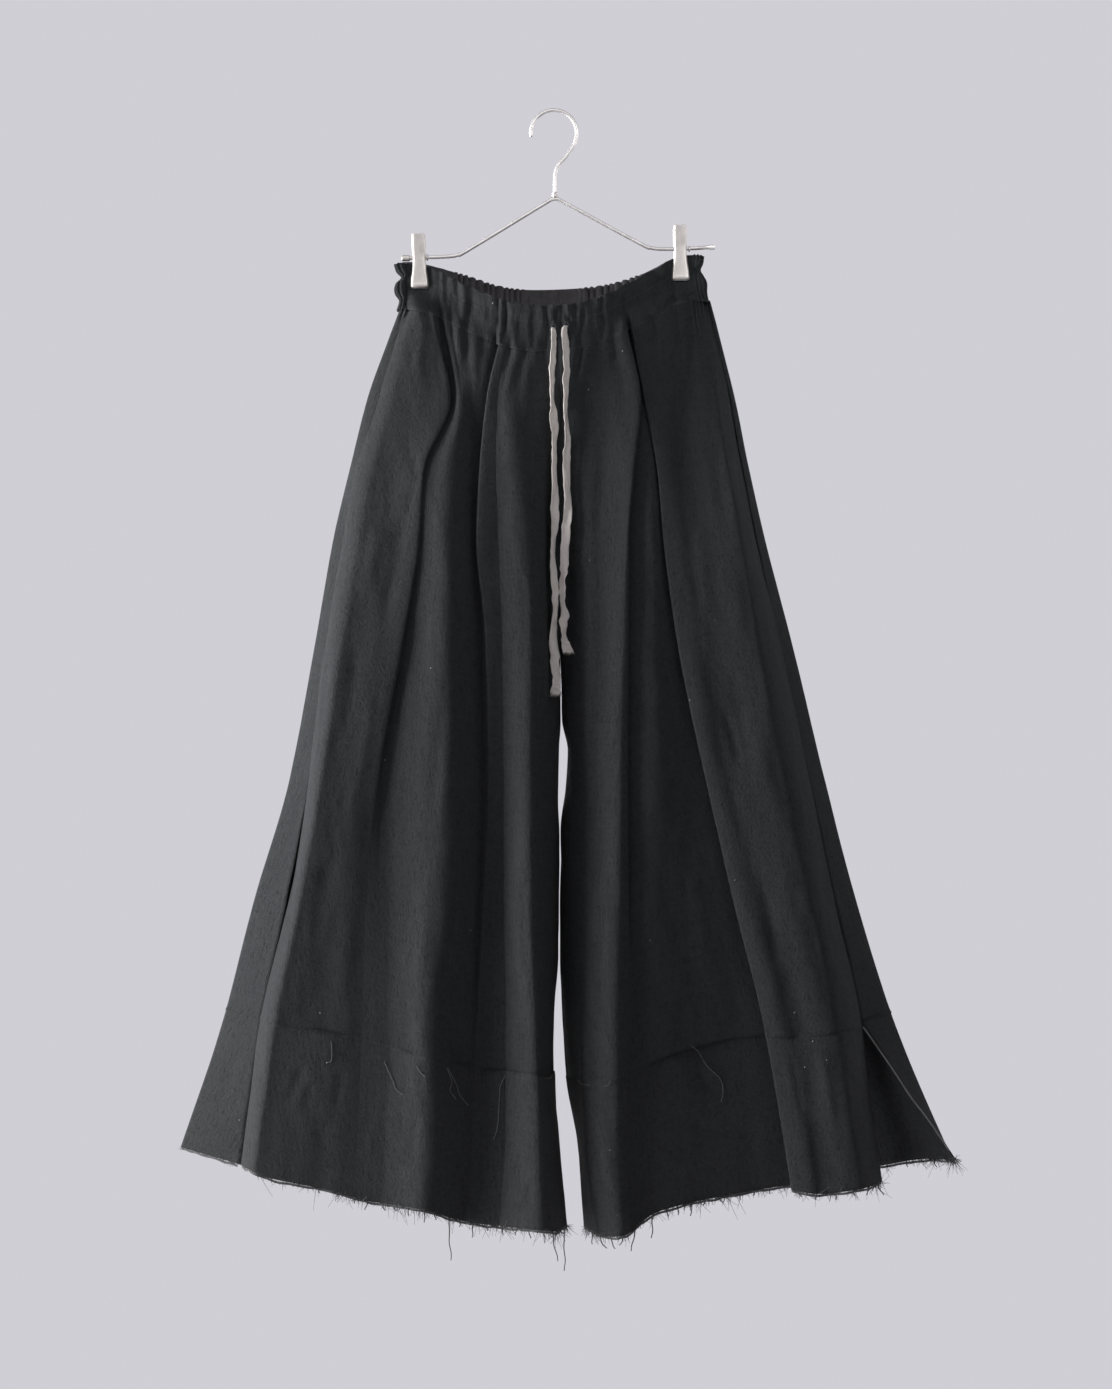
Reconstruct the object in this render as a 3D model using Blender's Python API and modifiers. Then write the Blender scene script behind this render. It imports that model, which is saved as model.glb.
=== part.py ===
"""Wide trousers with hakama pleats, hung by two clips from a wire hanger.

Every panel is a loft: a table gives one row for each fold, crest or pleat edge of the cloth, in
order along the cloth, and the wall is a smooth sheet drawn through those lines from waist to hem.
All sizes are millimetres on a working grid, across from its left edge and down from its top edge,
and depth is counted forwards (minus) or backwards (plus) from the plane the hanger hangs in.
"""

import collections
import math

import bmesh
import bpy
import numpy as np
from mathutils import Vector

MM = 0.001

# The grid point where the hook rests on its support, which is the part's origin.
HOOK_ACROSS = 554.0
HOOK_DOWN = 112.0

# Cloth in front of the hanging plane is drawn in towards the middle, and cloth behind it let out.
MIDDLE_ACROSS = 556.0
MIDDLE_DOWN = 694.5
DRAW_REACH = 3200.0

WALL = 1.2
SEAM_GAP = 0.4
WAIST_SEAM_GAP = 1.0
PLEAT_LAYER = 3.0

WAIST_SEAM_DOWN = 330.0
# The upper part of a panel in which its top edge is brought to the waistband's lower edge.
WAIST_FIT_PART = 1 / 3
PANEL_ROWS = 12
PANEL_ROW_POWER = 1.2
BAND_ROWS = 2
STEPS_PER_FOLD = 2

# Heights at which the tables give a fold's place across, and its depth.
ACROSS_DOWNS = (330, 400, 470, 540, 640, 780, 900, 1020, 1140, 1230)
DEPTH_DOWNS = (330, 540, 780, 1020, 1230)

# How a fold's line is doubled, in pleat layers: a pleat's edge lies over its own underlap.
FOLD_KINDS = {
    "soft": (0.0,),
    "crease": (0.0, 0.0),
    "over_right": (-1.2, -0.1),
    "under_right": (0.1, 1.2),
    "under_left": (1.2, 0.1),
    "over_left": (-0.1, -1.2),
    "turn_back": (-1.3, 1.3),
    "turn_front": (1.3, -1.3),
}

# Where a pleat falls open as it goes down, its doubling fades out from a height over this far.
NEVER_OPENS = 2000.0
OPENS_OVER = 160.0

Fold = collections.namedtuple(
    "Fold", "name kind seam hem across depth flare opens", defaults=(0.0, NEVER_OPENS))

FRONT_RIGHT = (
    Fold("side_seam", "soft", 1019, 1165,
         (401, 379, 357, 344, 328, 309, 288, 262, 245, 232), (-7, -14, -20, -24, -28)),
    Fold("side_crest", "soft", 1023, 1169,
         (405, 386, 364, 351, 335, 316, 295, 269, 251, 239), (-14, -36, -48, -56, -62)),
    Fold("side_plane", "soft", 1030, 1178,
         (411, 402, 388, 376, 360, 341, 327, 312, 298, 288), (-17, -40, -48, -56, -61)),
    Fold("hip_hump", "soft", 1037, 1190,
         (420, 424, 406, 396, 379, 359, 348, 340, 334, 328), (-19, -43, -49.5, -56, -61)),
    Fold("drape_edge", "over_right", 1040, 1198,
         (436, 450, 424, 419, 403, 378, 366, 362, 358, 354), (-18, -45, -47, -55, -61),
         opens=700),
    Fold("drape_inner", "under_right", 1045, 1202,
         (439, 447, 402, 400, 395, 379, 379, 378, 375, 371), (-16, -41, -44.5, -55.5, -61.5),
         opens=700),
    Fold("drape_under", "soft", 1050, 1204,
         (443, 456, 431, 425, 411, 394, 396, 396, 392, 388), (-14, -44, -44, -56, -62)),
    Fold("hip_ridge", "soft", 1063, 1210,
         (450, 459, 450, 447, 448, 448, 446, 430, 430, 424), (-20, -56, -66, -77, -85)),
    Fold("mid_slope", "soft", 1067, 1219,
         (462, 470, 468, 468, 469, 471, 470, 458, 457, 453), (-22, -40, -44, -52, -60)),
    Fold("knife_under", "soft", 1069, 1221,
         (490, 480, 474, 473, 477, 480, 476, 470, 464, 462), (-25, -36, -38, -44, -53)),
    Fold("knife_inner", "under_left", 1070, 1222,
         (513, 499, 489, 481, 483, 485, 481, 475, 469, 467), (-26, -38, -40, -46, -55),
         opens=900),
    Fold("knife_edge", "over_left", 1072, 1223,
         (502, 487, 480, 477, 486, 488, 483, 477, 472, 470), (-30, -45, -43, -48, -57),
         opens=900),
    Fold("thigh_foot", "crease", 1074, 1226,
         (510, 498, 496, 498.5, 502, 503.5, 504, 506, 505, 499), (-31, -46, -44.5, -52, -61)),
    Fold("thigh_ridge", "soft", 1078, 1231,
         (522, 510, 518, 527, 531, 531, 531, 537, 541, 545), (-34, -59, -69, -82, -92)),
    Fold("centre_valley", "soft", 1080, 1232,
         (546, 542, 544, 546, 549, 549, 549, 548, 552, 558), (-33, -42, -42, -52, -60)),
)

FRONT_LEFT = (
    Fold("centre_valley", "soft", 1079, 1231,
         (580, 573, 573, 576, 580, 580, 574, 577, 586, 594), (-32, -36, -36, -42, -50)),
    Fold("thigh_roll", "soft", 1080, 1233,
         (590, 589, 589, 590, 592, 590, 583, 580, 584, 596), (-32, -44, -46, -54, -62)),
    Fold("thigh_dip", "soft", 1080, 1236,
         (600, 602, 602, 602, 602, 600, 595, 588, 589, 601), (-31, -44, -50, -60, -69)),
    Fold("thigh_ridge", "soft", 1081, 1237,
         (614, 629, 627, 625, 621, 617, 618, 617, 617, 623), (-32, -56, -63, -74, -83)),
    Fold("box_left_edge", "over_right", 1081, 1231,
         (627, 640, 634, 629, 628.5, 628, 628, 628, 628, 632), (-27, -48, -53, -61, -69),
         opens=840),
    Fold("box_left_inner", "under_right", 1076, 1223,
         (608, 614, 608, 605, 608, 617, 627, 634, 637, 641), (-21, -42, -51, -60, -68),
         opens=840),
    Fold("underlay_ridge", "soft", 1060, 1210,
         (630, 640, 645, 648, 652, 650, 649, 652, 655, 658), (-20, -52, -57, -61, -69)),
    Fold("underlay_middle", "soft", 1040, 1194,
         (637, 649, 658, 662, 672, 684, 700, 714, 726, 734), (-18, -42, -48, -49, -56)),
    Fold("box_right_under", "soft", 1034, 1184,
         (640, 655, 663, 669, 683, 709, 737, 766, 787, 801), (-19, -38, -42, -41, -48)),
    Fold("box_right_inner", "under_left", 1036, 1186,
         (656, 672, 685, 690, 704, 733, 759, 787, 807, 820), (-17, -40, -42, -47, -54)),
    Fold("box_right_edge", "over_left", 1037, 1190,
         (631, 645, 658, 664, 677.5, 706.5, 734, 763, 784, 798), (-26, -47, -50.5, -56, -64)),
    Fold("flap_ridge", "soft", 1037, 1194,
         (650, 664, 672, 680, 692, 719, 747, 780, 804, 816), (-24, -51, -57, -66, -74)),
    Fold("flap_valley", "soft", 1037, 1194,
         (682, 682, 686, 693, 708, 733, 766, 796, 817, 829), (-14, -48, -55, -62, -71)),
    Fold("flap_outer", "soft", 1036, 1191,
         (700, 712, 724, 736, 746, 766, 794, 820, 842, 857), (-12, -54.5, -61.5, -69, -77)),
    Fold("side_slope", "soft", 1031, 1187,
         (708, 722, 733, 747, 768, 796, 821, 847, 864, 878), (-8, -52, -60, -67, -73)),
    Fold("side_seam", "soft", 1027, 1181,
         (714, 730, 742, 756, 778, 809, 835, 861, 875, 890), (-3, -10, -16, -22, -26)),
)

BACK_RIGHT = (
    Fold("side_seam", "soft", 1019, 1165,
         (401, 379, 357, 344, 328, 309, 288, 262, 245, 232), (-7, -14, -20, -24, -28)),
    Fold("side_turn", "turn_back", 1010, 1147,
         (392.5, 367.5, 350, 333.5, 316, 289.5, 254.5, 223.5, 183.5, 152), (0, 4, 6, 8, 10)),
    Fold("outer_ridge", "soft", 1012, 1150,
         (402, 385, 372, 362, 352, 338, 312, 288, 258, 232), (8, 34, 50, 62, 72)),
    Fold("outer_valley", "soft", 1018, 1160,
         (408, 402, 396, 392, 388, 378, 360, 342, 320, 300), (10, 32, 40, 46, 52)),
    Fold("seat_ridge", "soft", 1022, 1168,
         (424, 428, 428, 426, 424, 418, 406, 394, 380, 366), (14, 48, 62, 76, 88)),
    Fold("knife_edge", "over_right", 1036, 1184,
         (452, 456, 458, 458, 456, 453, 446, 438, 428, 420), (18, 46, 54, 62, 70)),
    Fold("knife_inner", "under_right", 1038, 1187,
         (434, 436, 438, 442, 446, 454, 458, 452, 442, 434), (12, 40, 50, 58, 66)),
    Fold("knife_under", "soft", 1044, 1193,
         (456, 460, 463, 466, 468, 472, 472, 466, 458, 452), (14, 38, 44, 50, 56)),
    Fold("thigh_ridge", "soft", 1050, 1198,
         (486, 492, 496, 500, 502, 504, 502, 498, 494, 492), (24, 50, 66, 80, 92)),
    Fold("centre_valley", "soft", 1064, 1213,
         (530, 532, 532, 532, 534, 536, 536, 532, 532, 538), (29, 38, 34, 40, 48)),
)

BACK_LEFT = (
    Fold("centre_valley", "soft", 1066, 1215,
         (590, 588, 588, 588, 588, 588, 586, 590, 600, 608), (29, 38, 34, 40, 48)),
    Fold("thigh_ridge", "soft", 1056, 1202,
         (630, 628, 624, 620, 618, 618, 620, 628, 638, 646), (24, 50, 66, 80, 92)),
    Fold("knife_under", "soft", 1050, 1197,
         (652, 654, 656, 658, 660, 666, 676, 690, 704, 714), (12, 38, 44, 50, 56)),
    Fold("knife_inner", "under_left", 1042, 1188,
         (676, 688, 692, 694, 698, 705, 712, 730, 750, 764), (10, 40, 50, 58, 66)),
    Fold("knife_edge", "over_left", 1037, 1183,
         (660, 668, 673, 679, 689, 706, 724, 744, 764, 778), (18, 46, 54, 62, 70)),
    Fold("seat_ridge", "soft", 1026, 1170,
         (690, 702, 710, 720, 738, 766, 792, 820, 846, 864), (12, 48, 62, 76, 88)),
    Fold("outer_valley", "soft", 1020, 1164,
         (702, 716, 728, 742, 764, 796, 824, 854, 886, 908), (8, 30, 40, 46, 52)),
    Fold("outer_ridge", "soft", 1014, 1158,
         (710, 726, 740, 754, 778, 811, 841, 875, 914, 944), (6, 28, 46, 56, 62)),
    Fold("side_turn", "turn_front", 1013, 1160,
         (717.5, 734.5, 748.5, 764.5, 790.5, 824.5, 855.5, 893, 943, 984), (0, 4, 6, 8, 10)),
    Fold("side_seam", "soft", 1027, 1157,
         (714, 730, 742, 756, 778, 809, 835, 861, 875, 890), (-3, -10, -16, -22, -26), 76.0),
)

# The rise and the inner legs: where each leg's inner edge runs, and how deep the rise seams lie.
INNER_DOWNS = (330, 600, 690, 720, 750, 790, 830, 950, 1020, 1080, 1140, 1230)
INNER_RIGHT = (559.6, 559.5, 559.8, 560.0, 558, 557, 558, 557.6, 553, 553.5, 558, 567)
INNER_LEFT = (560.0, 560.1, 562.4, 563.2, 569, 566.5, 561.4, 561.0, 564, 568, 578, 585)
RISE_DOWNS = (330, 400, 470, 540, 600, 650, 690, 1230)
RISE_FRONT = (-33, -33, -31, -26, -19, -10, 0, 0)
RISE_BACK = (30, 31, 30, 27, 21, 12, 0, 0)
CROTCH_FROM = 590.0
CROTCH_TO = 690.0
RISE_LAP = 7.0
INNER_ROUND = 10.0
INNER_SEAMS = (1075, 1078)
INNER_HEMS = (1224, 1226)

# The waistband: its line across, how deep it stands at its top and bottom edges, front and back,
# and how far down its front and back top edges are.
Station = collections.namedtuple(
    "Station", "across front_top front_foot back_top back_foot front_edge back_edge")
WAIST_STATIONS = (
    Station(396, 0.0, 0.0, 0.0, 0.0, 266, 266),
    Station(396, -4.0, -4.0, 4.0, 4.0, 264, 264),
    Station(404, -4.5, -7.0, 4.5, 7.0, 263, 262),
    Station(412, -3.2, -10.0, 3.2, 10.0, 264, 262),
    Station(428, -3.2, -14.0, 3.2, 13.0, 267, 265),
    Station(440, -8.0, -18.0, 7.0, 16.0, 272, 268),
    Station(467, -19.0, -24.0, 17.0, 21.0, 286, 276),
    Station(501, -28.0, -29.5, 25.0, 26.0, 300, 288),
    Station(530, -32.0, -32.0, 29.0, 29.0, 306, 290.5),
    Station(575, -33.0, -33.0, 30.0, 30.0, 304.5, 289),
    Station(606, -29.0, -31.0, 27.0, 28.0, 295, 286),
    Station(638, -18.0, -25.0, 17.0, 23.0, 278, 276.5),
    Station(659, -9.0, -19.0, 8.0, 17.0, 267, 266),
    Station(673, -3.2, -14.0, 3.2, 13.0, 258, 258),
    Station(688, -3.2, -9.0, 3.2, 9.0, 255, 255),
    Station(698, -4.5, -7.0, 4.5, 6.0, 255, 255),
    Station(703, -4.0, -4.0, 4.0, 4.0, 256, 256),
    Station(703, 0.0, 0.0, 0.0, 0.0, 258, 258),
)
WAISTBAND_DEEP = 46.0
WAIST_RIGHT_SPREAD = 5.5
WAIST_CURVE_STEPS = 12
GATHERS_FRONT = (396, 403, 411, 429, 440, 451, 465, 483, 498, 511, 525, 544, 557, 568, 581, 596,
                 612, 630, 652, 671, 689, 697, 703)
GATHERS_BACK = (396, 404, 411, 429, 442, 455, 467, 479, 492, 506, 521, 538, 559, 578, 591, 604,
                617, 630, 645, 658, 671, 689, 697, 703)
STEPS_PER_GATHER = 4
# The clips hold the band flat over the upper part of its depth, and its gathers end this far away.
CLIP_GRIP = 0.5
CLIP_EASE = 6.0
CLIP_PUFF = 0.25
# Down the band: part of its depth, gather height and how far the cloth puffs out.
BandRow = collections.namedtuple("BandRow", "part gather puff")
WAISTBAND_ROWS = (
    BandRow(0.0, 3.0, 0.0),
    BandRow(0.2, 2.4, 0.8),
    BandRow(0.42, 1.1, -0.8),
    BandRow(0.72, 2.2, 2.6),
    BandRow(1.0, 0.5, 0.0),
)
CLIP_SPANS = ((411, 429), (671, 689))

# Flat tape drawstrings: the section, across and through the tape, and the points each hangs
# through. The section is 8 mm wide and 1.2 mm thick, with its corners taken off.
TAPE_SECTION = ((-4.0, -0.3), (-3.6, -0.6), (3.6, -0.6), (4.0, -0.3),
                (4.0, 0.3), (3.6, 0.6), (-3.6, 0.6), (-4.0, 0.3))
TapePoint = collections.namedtuple("TapePoint", "across down depth turn")
DRAWSTRING_RIGHT = (
    TapePoint(554, 332, -41, 50), TapePoint(552.7, 345, -42, 55), TapePoint(552.8, 362, -42, 45),
    TapePoint(553, 380, -42, 58), TapePoint(553, 402, -42, 64), TapePoint(553.5, 420, -42, 15),
    TapePoint(554, 438, -42, 56), TapePoint(555, 456, -42, 58), TapePoint(555, 486, -42, 50),
    TapePoint(554.5, 508, -42, 15), TapePoint(554, 526, -42, 30), TapePoint(554, 545, -42, 64),
    TapePoint(554.3, 570, -42, 40), TapePoint(554.4, 592, -42, 35), TapePoint(554.4, 614, -42, 56),
    TapePoint(553.6, 638, -42, 30), TapePoint(554.8, 656, -42, 0), TapePoint(556.3, 672, -42, -10),
    TapePoint(556.2, 684, -42, 15), TapePoint(554.8, 694, -42, -15),
)
DRAWSTRING_LEFT = (
    TapePoint(565, 331, -41, 40), TapePoint(565.8, 344, -42, 30), TapePoint(565.5, 362, -42, 45),
    TapePoint(566.2, 378, -42, 40), TapePoint(566.9, 398, -42, 62), TapePoint(566.6, 418, -42, 66),
    TapePoint(566.4, 438, -42, 52), TapePoint(566.2, 458, -42, 25), TapePoint(567.2, 478, -42, 30),
    TapePoint(568.5, 496, -42, 42), TapePoint(567.9, 512, -42, 10), TapePoint(566.2, 528, -42, -5),
    TapePoint(565.2, 548, -42, 5), TapePoint(564, 564, -42, -10), TapePoint(563, 578, -42, -50),
    TapePoint(562.9, 591, -42, -40), TapePoint(562.8, 604, -42, -60), TapePoint(564.2, 618, -42, -5),
    TapePoint(563.6, 633, -42, 55), TapePoint(565.2, 644, -42, 20), TapePoint(568, 652, -42, 0),
)

# Hanger: one bent wire, a hook of the same wire, and two spring clips.
WIRE_RADIUS = 1.9
CROOK_RADIUS = 23.0
CROOK_CENTRE_DOWN = 133.1
CROOK_TURN = (188.0, -22.0)
CROOK_STEPS = 18
HOOK_SHANK = ((573.5, 146), (566.5, 156), (559.5, 164), (555.6, 173), (555, 184), (555, 192.5))
ARM_POINTS = ((402, 258.3), (427, 257.4), (450, 256.4), (459, 254.6), (468, 250.2), (545, 203.4),
              (551, 200.0), (555, 198.9), (559, 199.8), (566, 203.5), (640, 243.6), (650, 247.6),
              (660, 249), (684, 248.8), (708, 247.5))
COLLAR_ACROSS = 555.0
COLLAR_DOWN = 194.9
COLLAR_LONG = 3.4
COLLAR_RADIUS = 3.2
RIGHT_BEAD = (405.8, 258.2)
LEFT_BEAD = (712.0, 247.3)
RIGHT_BEAD_RADIUS = 3.2
LEFT_BEAD_RADIUS = 2.9
BEAD_LONG = 7.0
RING_BEVEL = 0.4
KNOB_BEVEL = 0.8
Clip = collections.namedtuple("Clip", "name across top foot lean")
CLIPS = (Clip("right", 419.3, 234.6, 289.0, 1.5), Clip("left", 680.2, 226.0, 281.3, 0.5))
CLIP_PLATE = 1.3
# Down a leaf: part of its length, its width and how far it stands from the hanging plane.
LeafRow = collections.namedtuple("LeafRow", "part wide opened")
LEAF_ROWS = (
    LeafRow(0.0, 13.0, 9.0),
    LeafRow(0.2, 13.0, 7.9),
    LeafRow(0.42, 11.6, 6.8),
    LeafRow(0.62, 13.2, 6.8),
    LeafRow(0.88, 17.0, 6.8),
    LeafRow(1.0, 17.0, 6.8),
)
SPRING_RADIUS = 5.0
SPRING_LONG = 12.0
WIRE_HOLE = 2.4

TURN_STEPS = 14
JOIN_NEAR = 0.00001

# Raw hems: a narrow frayed strip under each hem band, with loose threads along it.
FRAY_GAP = 0.6
FRAY_DEEP = 2.0
THREAD_WIDE = 1.1
THREAD_TIP = 0.35
# The parts of a panel at its lowest row and just above it, and the points its hem is measured by.
HEM_PARTS = (1.9, 2.0)
HEM_STEPS = 2000
Thread = collections.namedtuple("Thread", "across long drift")
THREADS_FRONT_RIGHT = (
    Thread(276, 4, 1), Thread(301, 3, -1), Thread(322, 5, 1), Thread(341, 4, -1), Thread(357, 6, 2),
    Thread(371, 9, -2), Thread(386, 7, 1), Thread(398, 6, 2), Thread(411, 9, -1), Thread(426, 12, 1),
    Thread(438, 7, 2), Thread(451, 42, 2), Thread(463, 6, -1), Thread(474, 14, -1),
    Thread(489, 6, 1), Thread(503, 8, 2), Thread(517, 7, -2), Thread(531, 9, 1), Thread(545, 12, 2),
    Thread(554, 29, 5), Thread(565, 44, 1),
)
THREADS_FRONT_LEFT = (
    Thread(590, 14, 1), Thread(598, 13, 6), Thread(609, 12, 5), Thread(621, 9, -2),
    Thread(634, 22, -4), Thread(650, 23, 0), Thread(664, 7, 2), Thread(677, 9, 1),
    Thread(689, 13, 0), Thread(704, 6, -1), Thread(719, 5, 1), Thread(735, 7, 2),
    Thread(752, 5, -1), Thread(768, 6, 1), Thread(795, 5, 1), Thread(812, 6, -1),
    Thread(829, 7, 2), Thread(846, 5, 1), Thread(862, 8, -2), Thread(876, 12, 5),
)
THREADS_BACK_RIGHT = (
    Thread(214, 4, -1), Thread(247, 6, 1), Thread(281, 8, -2), Thread(318, 6, 2), Thread(352, 12, 1),
    Thread(388, 7, -1), Thread(428, 16, 2), Thread(470, 8, 1), Thread(505, 11, -2),
    Thread(534, 9, 1), Thread(556, 13, 2),
)
THREADS_BACK_LEFT = (
    Thread(600, 12, 1), Thread(628, 8, -2), Thread(657, 14, 2), Thread(690, 7, 1),
    Thread(727, 9, -1), Thread(768, 6, 2), Thread(806, 11, 1), Thread(846, 7, -1),
    Thread(884, 9, 1), Thread(912, 6, 2), Thread(938, 8, 2),
)

COLOURS = {
    "linen_black": ((0.020, 0.022, 0.025), 0.9, 0.0),
    "tape_cream": ((0.52, 0.48, 0.43), 0.85, 0.0),
    "wire_steel": ((0.62, 0.61, 0.60), 0.3, 1.0),
    "clip_steel": ((0.66, 0.63, 0.59), 0.35, 1.0),
}


def clear_scene():
    for obj in list(bpy.data.objects):
        bpy.data.objects.remove(obj)


def make_collection(name):
    collection = bpy.data.collections.new(name)
    bpy.context.scene.collection.children.link(collection)
    return collection


def make_materials():
    materials = {}
    for name, (colour, roughness, metallic) in COLOURS.items():
        material = bpy.data.materials.new(name)
        material.use_nodes = True
        shader = material.node_tree.nodes["Principled BSDF"]
        shader.inputs["Base Color"].default_value = (*colour, 1.0)
        shader.inputs["Roughness"].default_value = roughness
        shader.inputs["Metallic"].default_value = metallic
        materials[name] = material
    return materials


def smooth(downs, values, at):
    """A curve through the values at those heights that never swings past them."""
    downs = np.asarray(downs, float)
    values = np.asarray(values, float)
    at = np.asarray(at, float)
    steps = np.diff(values) / np.diff(downs)
    slopes = np.zeros(len(values))
    slopes[0] = steps[0]
    slopes[-1] = steps[-1]
    before = steps[:-1]
    after = steps[1:]
    same = before * after > 0
    slopes[1:-1][same] = 2 * before[same] * after[same] / (before[same] + after[same])
    inside = np.clip(at, downs[0], downs[-1])
    i = np.clip(np.searchsorted(downs, inside, side="right") - 1, 0, len(downs) - 2)
    span = downs[i + 1] - downs[i]
    t = (inside - downs[i]) / span
    start = values[i] * (1 + 2 * t) * (1 - t) ** 2 + slopes[i] * span * t * (1 - t) ** 2
    end = values[i + 1] * t**2 * (3 - 2 * t) + slopes[i + 1] * span * t**2 * (t - 1)
    past = np.minimum(at - downs[0], 0) * slopes[0] + np.maximum(at - downs[-1], 0) * slopes[-1]
    return start + end + past


def ease(start, end, at):
    t = np.clip((np.asarray(at, float) - start) / (end - start), 0.0, 1.0)
    return t * t * (3 - 2 * t)


def sheet_weights(count, steps):
    """Each column's share of the lines of a sheet: a quadratic B-spline held at both edges."""
    knots = np.concatenate(([0, 0], np.arange(count - 1), [count - 2, count - 2])).astype(float)
    at = np.linspace(0, count - 2, (count - 2) * steps + 1)
    weights = np.zeros((len(at), len(knots) - 1))
    span = np.clip(np.floor(at).astype(int), 0, count - 3) + 2
    weights[np.arange(len(at)), span] = 1.0
    for degree in (1, 2):
        for k in range(len(knots) - 1 - degree):
            left = knots[k + degree] - knots[k]
            right = knots[k + degree + 1] - knots[k + 1]
            part = (at - knots[k]) / left * weights[:, k] if left else 0.0
            rest = (knots[k + degree + 1] - at) / right * weights[:, k + 1] if right else 0.0
            weights[:, k] = part + rest
    return weights[:, :count]


def waist_foot(across, back):
    """How far down the waistband's lower edge is."""
    places = [station.across for station in WAIST_STATIONS[1:-1]]
    edges = [station.back_edge if back else station.front_edge for station in WAIST_STATIONS[1:-1]]
    return np.interp(across, places, edges) + WAISTBAND_DEEP


def inner_lines(right, back):
    """The rise seam and inner-leg edge of one panel, and the line beside it that rounds it over."""
    side = -1.0 if right else 1.0
    edge = INNER_RIGHT if right else INNER_LEFT
    rise = RISE_BACK if back else RISE_FRONT
    out = 1.0 if back else -1.0

    def edge_line(down):
        return smooth(INNER_DOWNS, edge, down), smooth(RISE_DOWNS, rise, down)

    def beside_line(down):
        across, depth = edge_line(down)
        turned = ease(CROTCH_FROM, CROTCH_TO, down)
        return across + side * RISE_LAP * (1 - turned), depth + out * INNER_ROUND * turned

    return edge_line, beside_line


def fold_lines(folds, right, back):
    """All lines of a panel from left to right: (place at a height, seam, hem, flare)."""
    layer = -PLEAT_LAYER if back else PLEAT_LAYER
    lines = []
    for fold in folds:
        sign = 1.0 if fold.kind.startswith("turn") else math.copysign(1.0, layer)
        for offset in FOLD_KINDS[fold.kind]:
            def place(down, fold=fold, rise=offset * PLEAT_LAYER * sign):
                across = smooth(ACROSS_DOWNS, fold.across, down)
                closed = 1 - ease(fold.opens, fold.opens + OPENS_OVER, down)
                return across, smooth(DEPTH_DOWNS, fold.depth, down) + rise * closed
            lines.append((place, fold.seam, fold.hem, fold.flare))
    leg = 0 if right else 1
    edge_line, beside_line = inner_lines(right, back)
    inner = [(line, INNER_SEAMS[leg], INNER_HEMS[leg], 0.0) for line in (beside_line, edge_line)]
    return lines + inner if right else inner[::-1] + lines


def panel_grid(folds, right, back, parts, steps=STEPS_PER_FOLD):
    """Points (across, down, depth) of a panel. A part is 0 at the waist, 1 at the seam, 2 at the hem."""
    lines = fold_lines(folds, right, back)
    parts = np.asarray(parts, float)
    controls = np.zeros((len(lines), len(parts), 3))
    for k, (place, seam, hem, flare) in enumerate(lines):
        waist = waist_foot(place(np.array([WAIST_SEAM_DOWN]))[0], back)[0] + WAIST_SEAM_GAP
        down = np.interp(parts, (0, 1, 2), (waist, seam, hem))
        across, depth = place(down)
        controls[k, :, 0] = across + flare * np.maximum(parts - 1, 0)
        controls[k, :, 1] = down
        controls[k, :, 2] = depth
    grid = np.einsum("uk,kvc->uvc", sheet_weights(len(lines), steps), controls)
    if parts[0] == 0:
        wrong = waist_foot(grid[:, :1, 0], back) + WAIST_SEAM_GAP - grid[:, :1, 1]
        grid[:, :, 1] += wrong * np.maximum(1 - parts / WAIST_FIT_PART, 0) ** 2
    return grid


def to_world(grid):
    """Grid points as metres in the part's frame, drawn in or let out with their depth."""
    grid = np.asarray(grid, float)
    draw = 1 + grid[..., 2] / DRAW_REACH
    across = MIDDLE_ACROSS + (grid[..., 0] - MIDDLE_ACROSS) * draw
    down = MIDDLE_DOWN + (grid[..., 1] - MIDDLE_DOWN) * draw
    return np.stack([across - HOOK_ACROSS, grid[..., 2], HOOK_DOWN - down], -1) * MM


def draw_back(points, gap=SEAM_GAP):
    """Moves a sheet's four edges in by half of the gap, so that neighbours stay apart."""
    points = points.copy()
    for edge, beside in (((0,), (1,)), ((-1,), (-2,))):
        step = points[beside] - points[edge]
        points[edge] += step / np.linalg.norm(step, axis=-1, keepdims=True) * gap * MM / 2
        step = points[:, beside[0]] - points[:, edge[0]]
        points[:, edge[0]] += step / np.linalg.norm(step, axis=-1, keepdims=True) * gap * MM / 2
    return points


def sheet_object(name, points, collection, material):
    """A cloth wall on a grid of points: an open sheet with Solidify on both sides of it."""
    columns, rows = points.shape[:2]
    mesh = bmesh.new()
    verts = [[mesh.verts.new(point) for point in column] for column in points]
    for i in range(columns - 1):
        for j in range(rows - 1):
            mesh.faces.new((verts[i][j], verts[i][j + 1], verts[i + 1][j + 1], verts[i + 1][j]))
    data = bpy.data.meshes.new(name)
    mesh.to_mesh(data)
    mesh.free()
    data.shade_smooth()
    data.materials.append(material)
    obj = bpy.data.objects.new(name, data)
    collection.objects.link(obj)
    wall = obj.modifiers.new("wall", "SOLIDIFY")
    wall.thickness = WALL * MM
    wall.offset = 0.0
    wall.use_even_offset = False
    return obj


PANELS = (
    ("front_right", FRONT_RIGHT, True, False, THREADS_FRONT_RIGHT),
    ("front_left", FRONT_LEFT, False, False, THREADS_FRONT_LEFT),
    ("back_right", BACK_RIGHT, True, True, THREADS_BACK_RIGHT),
    ("back_left", BACK_LEFT, False, True, THREADS_BACK_LEFT),
)


def make_panels(collection, material):
    for name, folds, right, back, _ in PANELS:
        parts = np.linspace(0, 1, PANEL_ROWS + 1) ** PANEL_ROW_POWER
        points = to_world(panel_grid(folds, right, back, parts))
        sheet_object(f"leg_{name}", draw_back(points), collection, material)
        parts = np.linspace(1, 2, BAND_ROWS + 1)
        points = to_world(panel_grid(folds, right, back, parts))
        sheet_object(f"hem_{name}", draw_back(points), collection, material)


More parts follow.
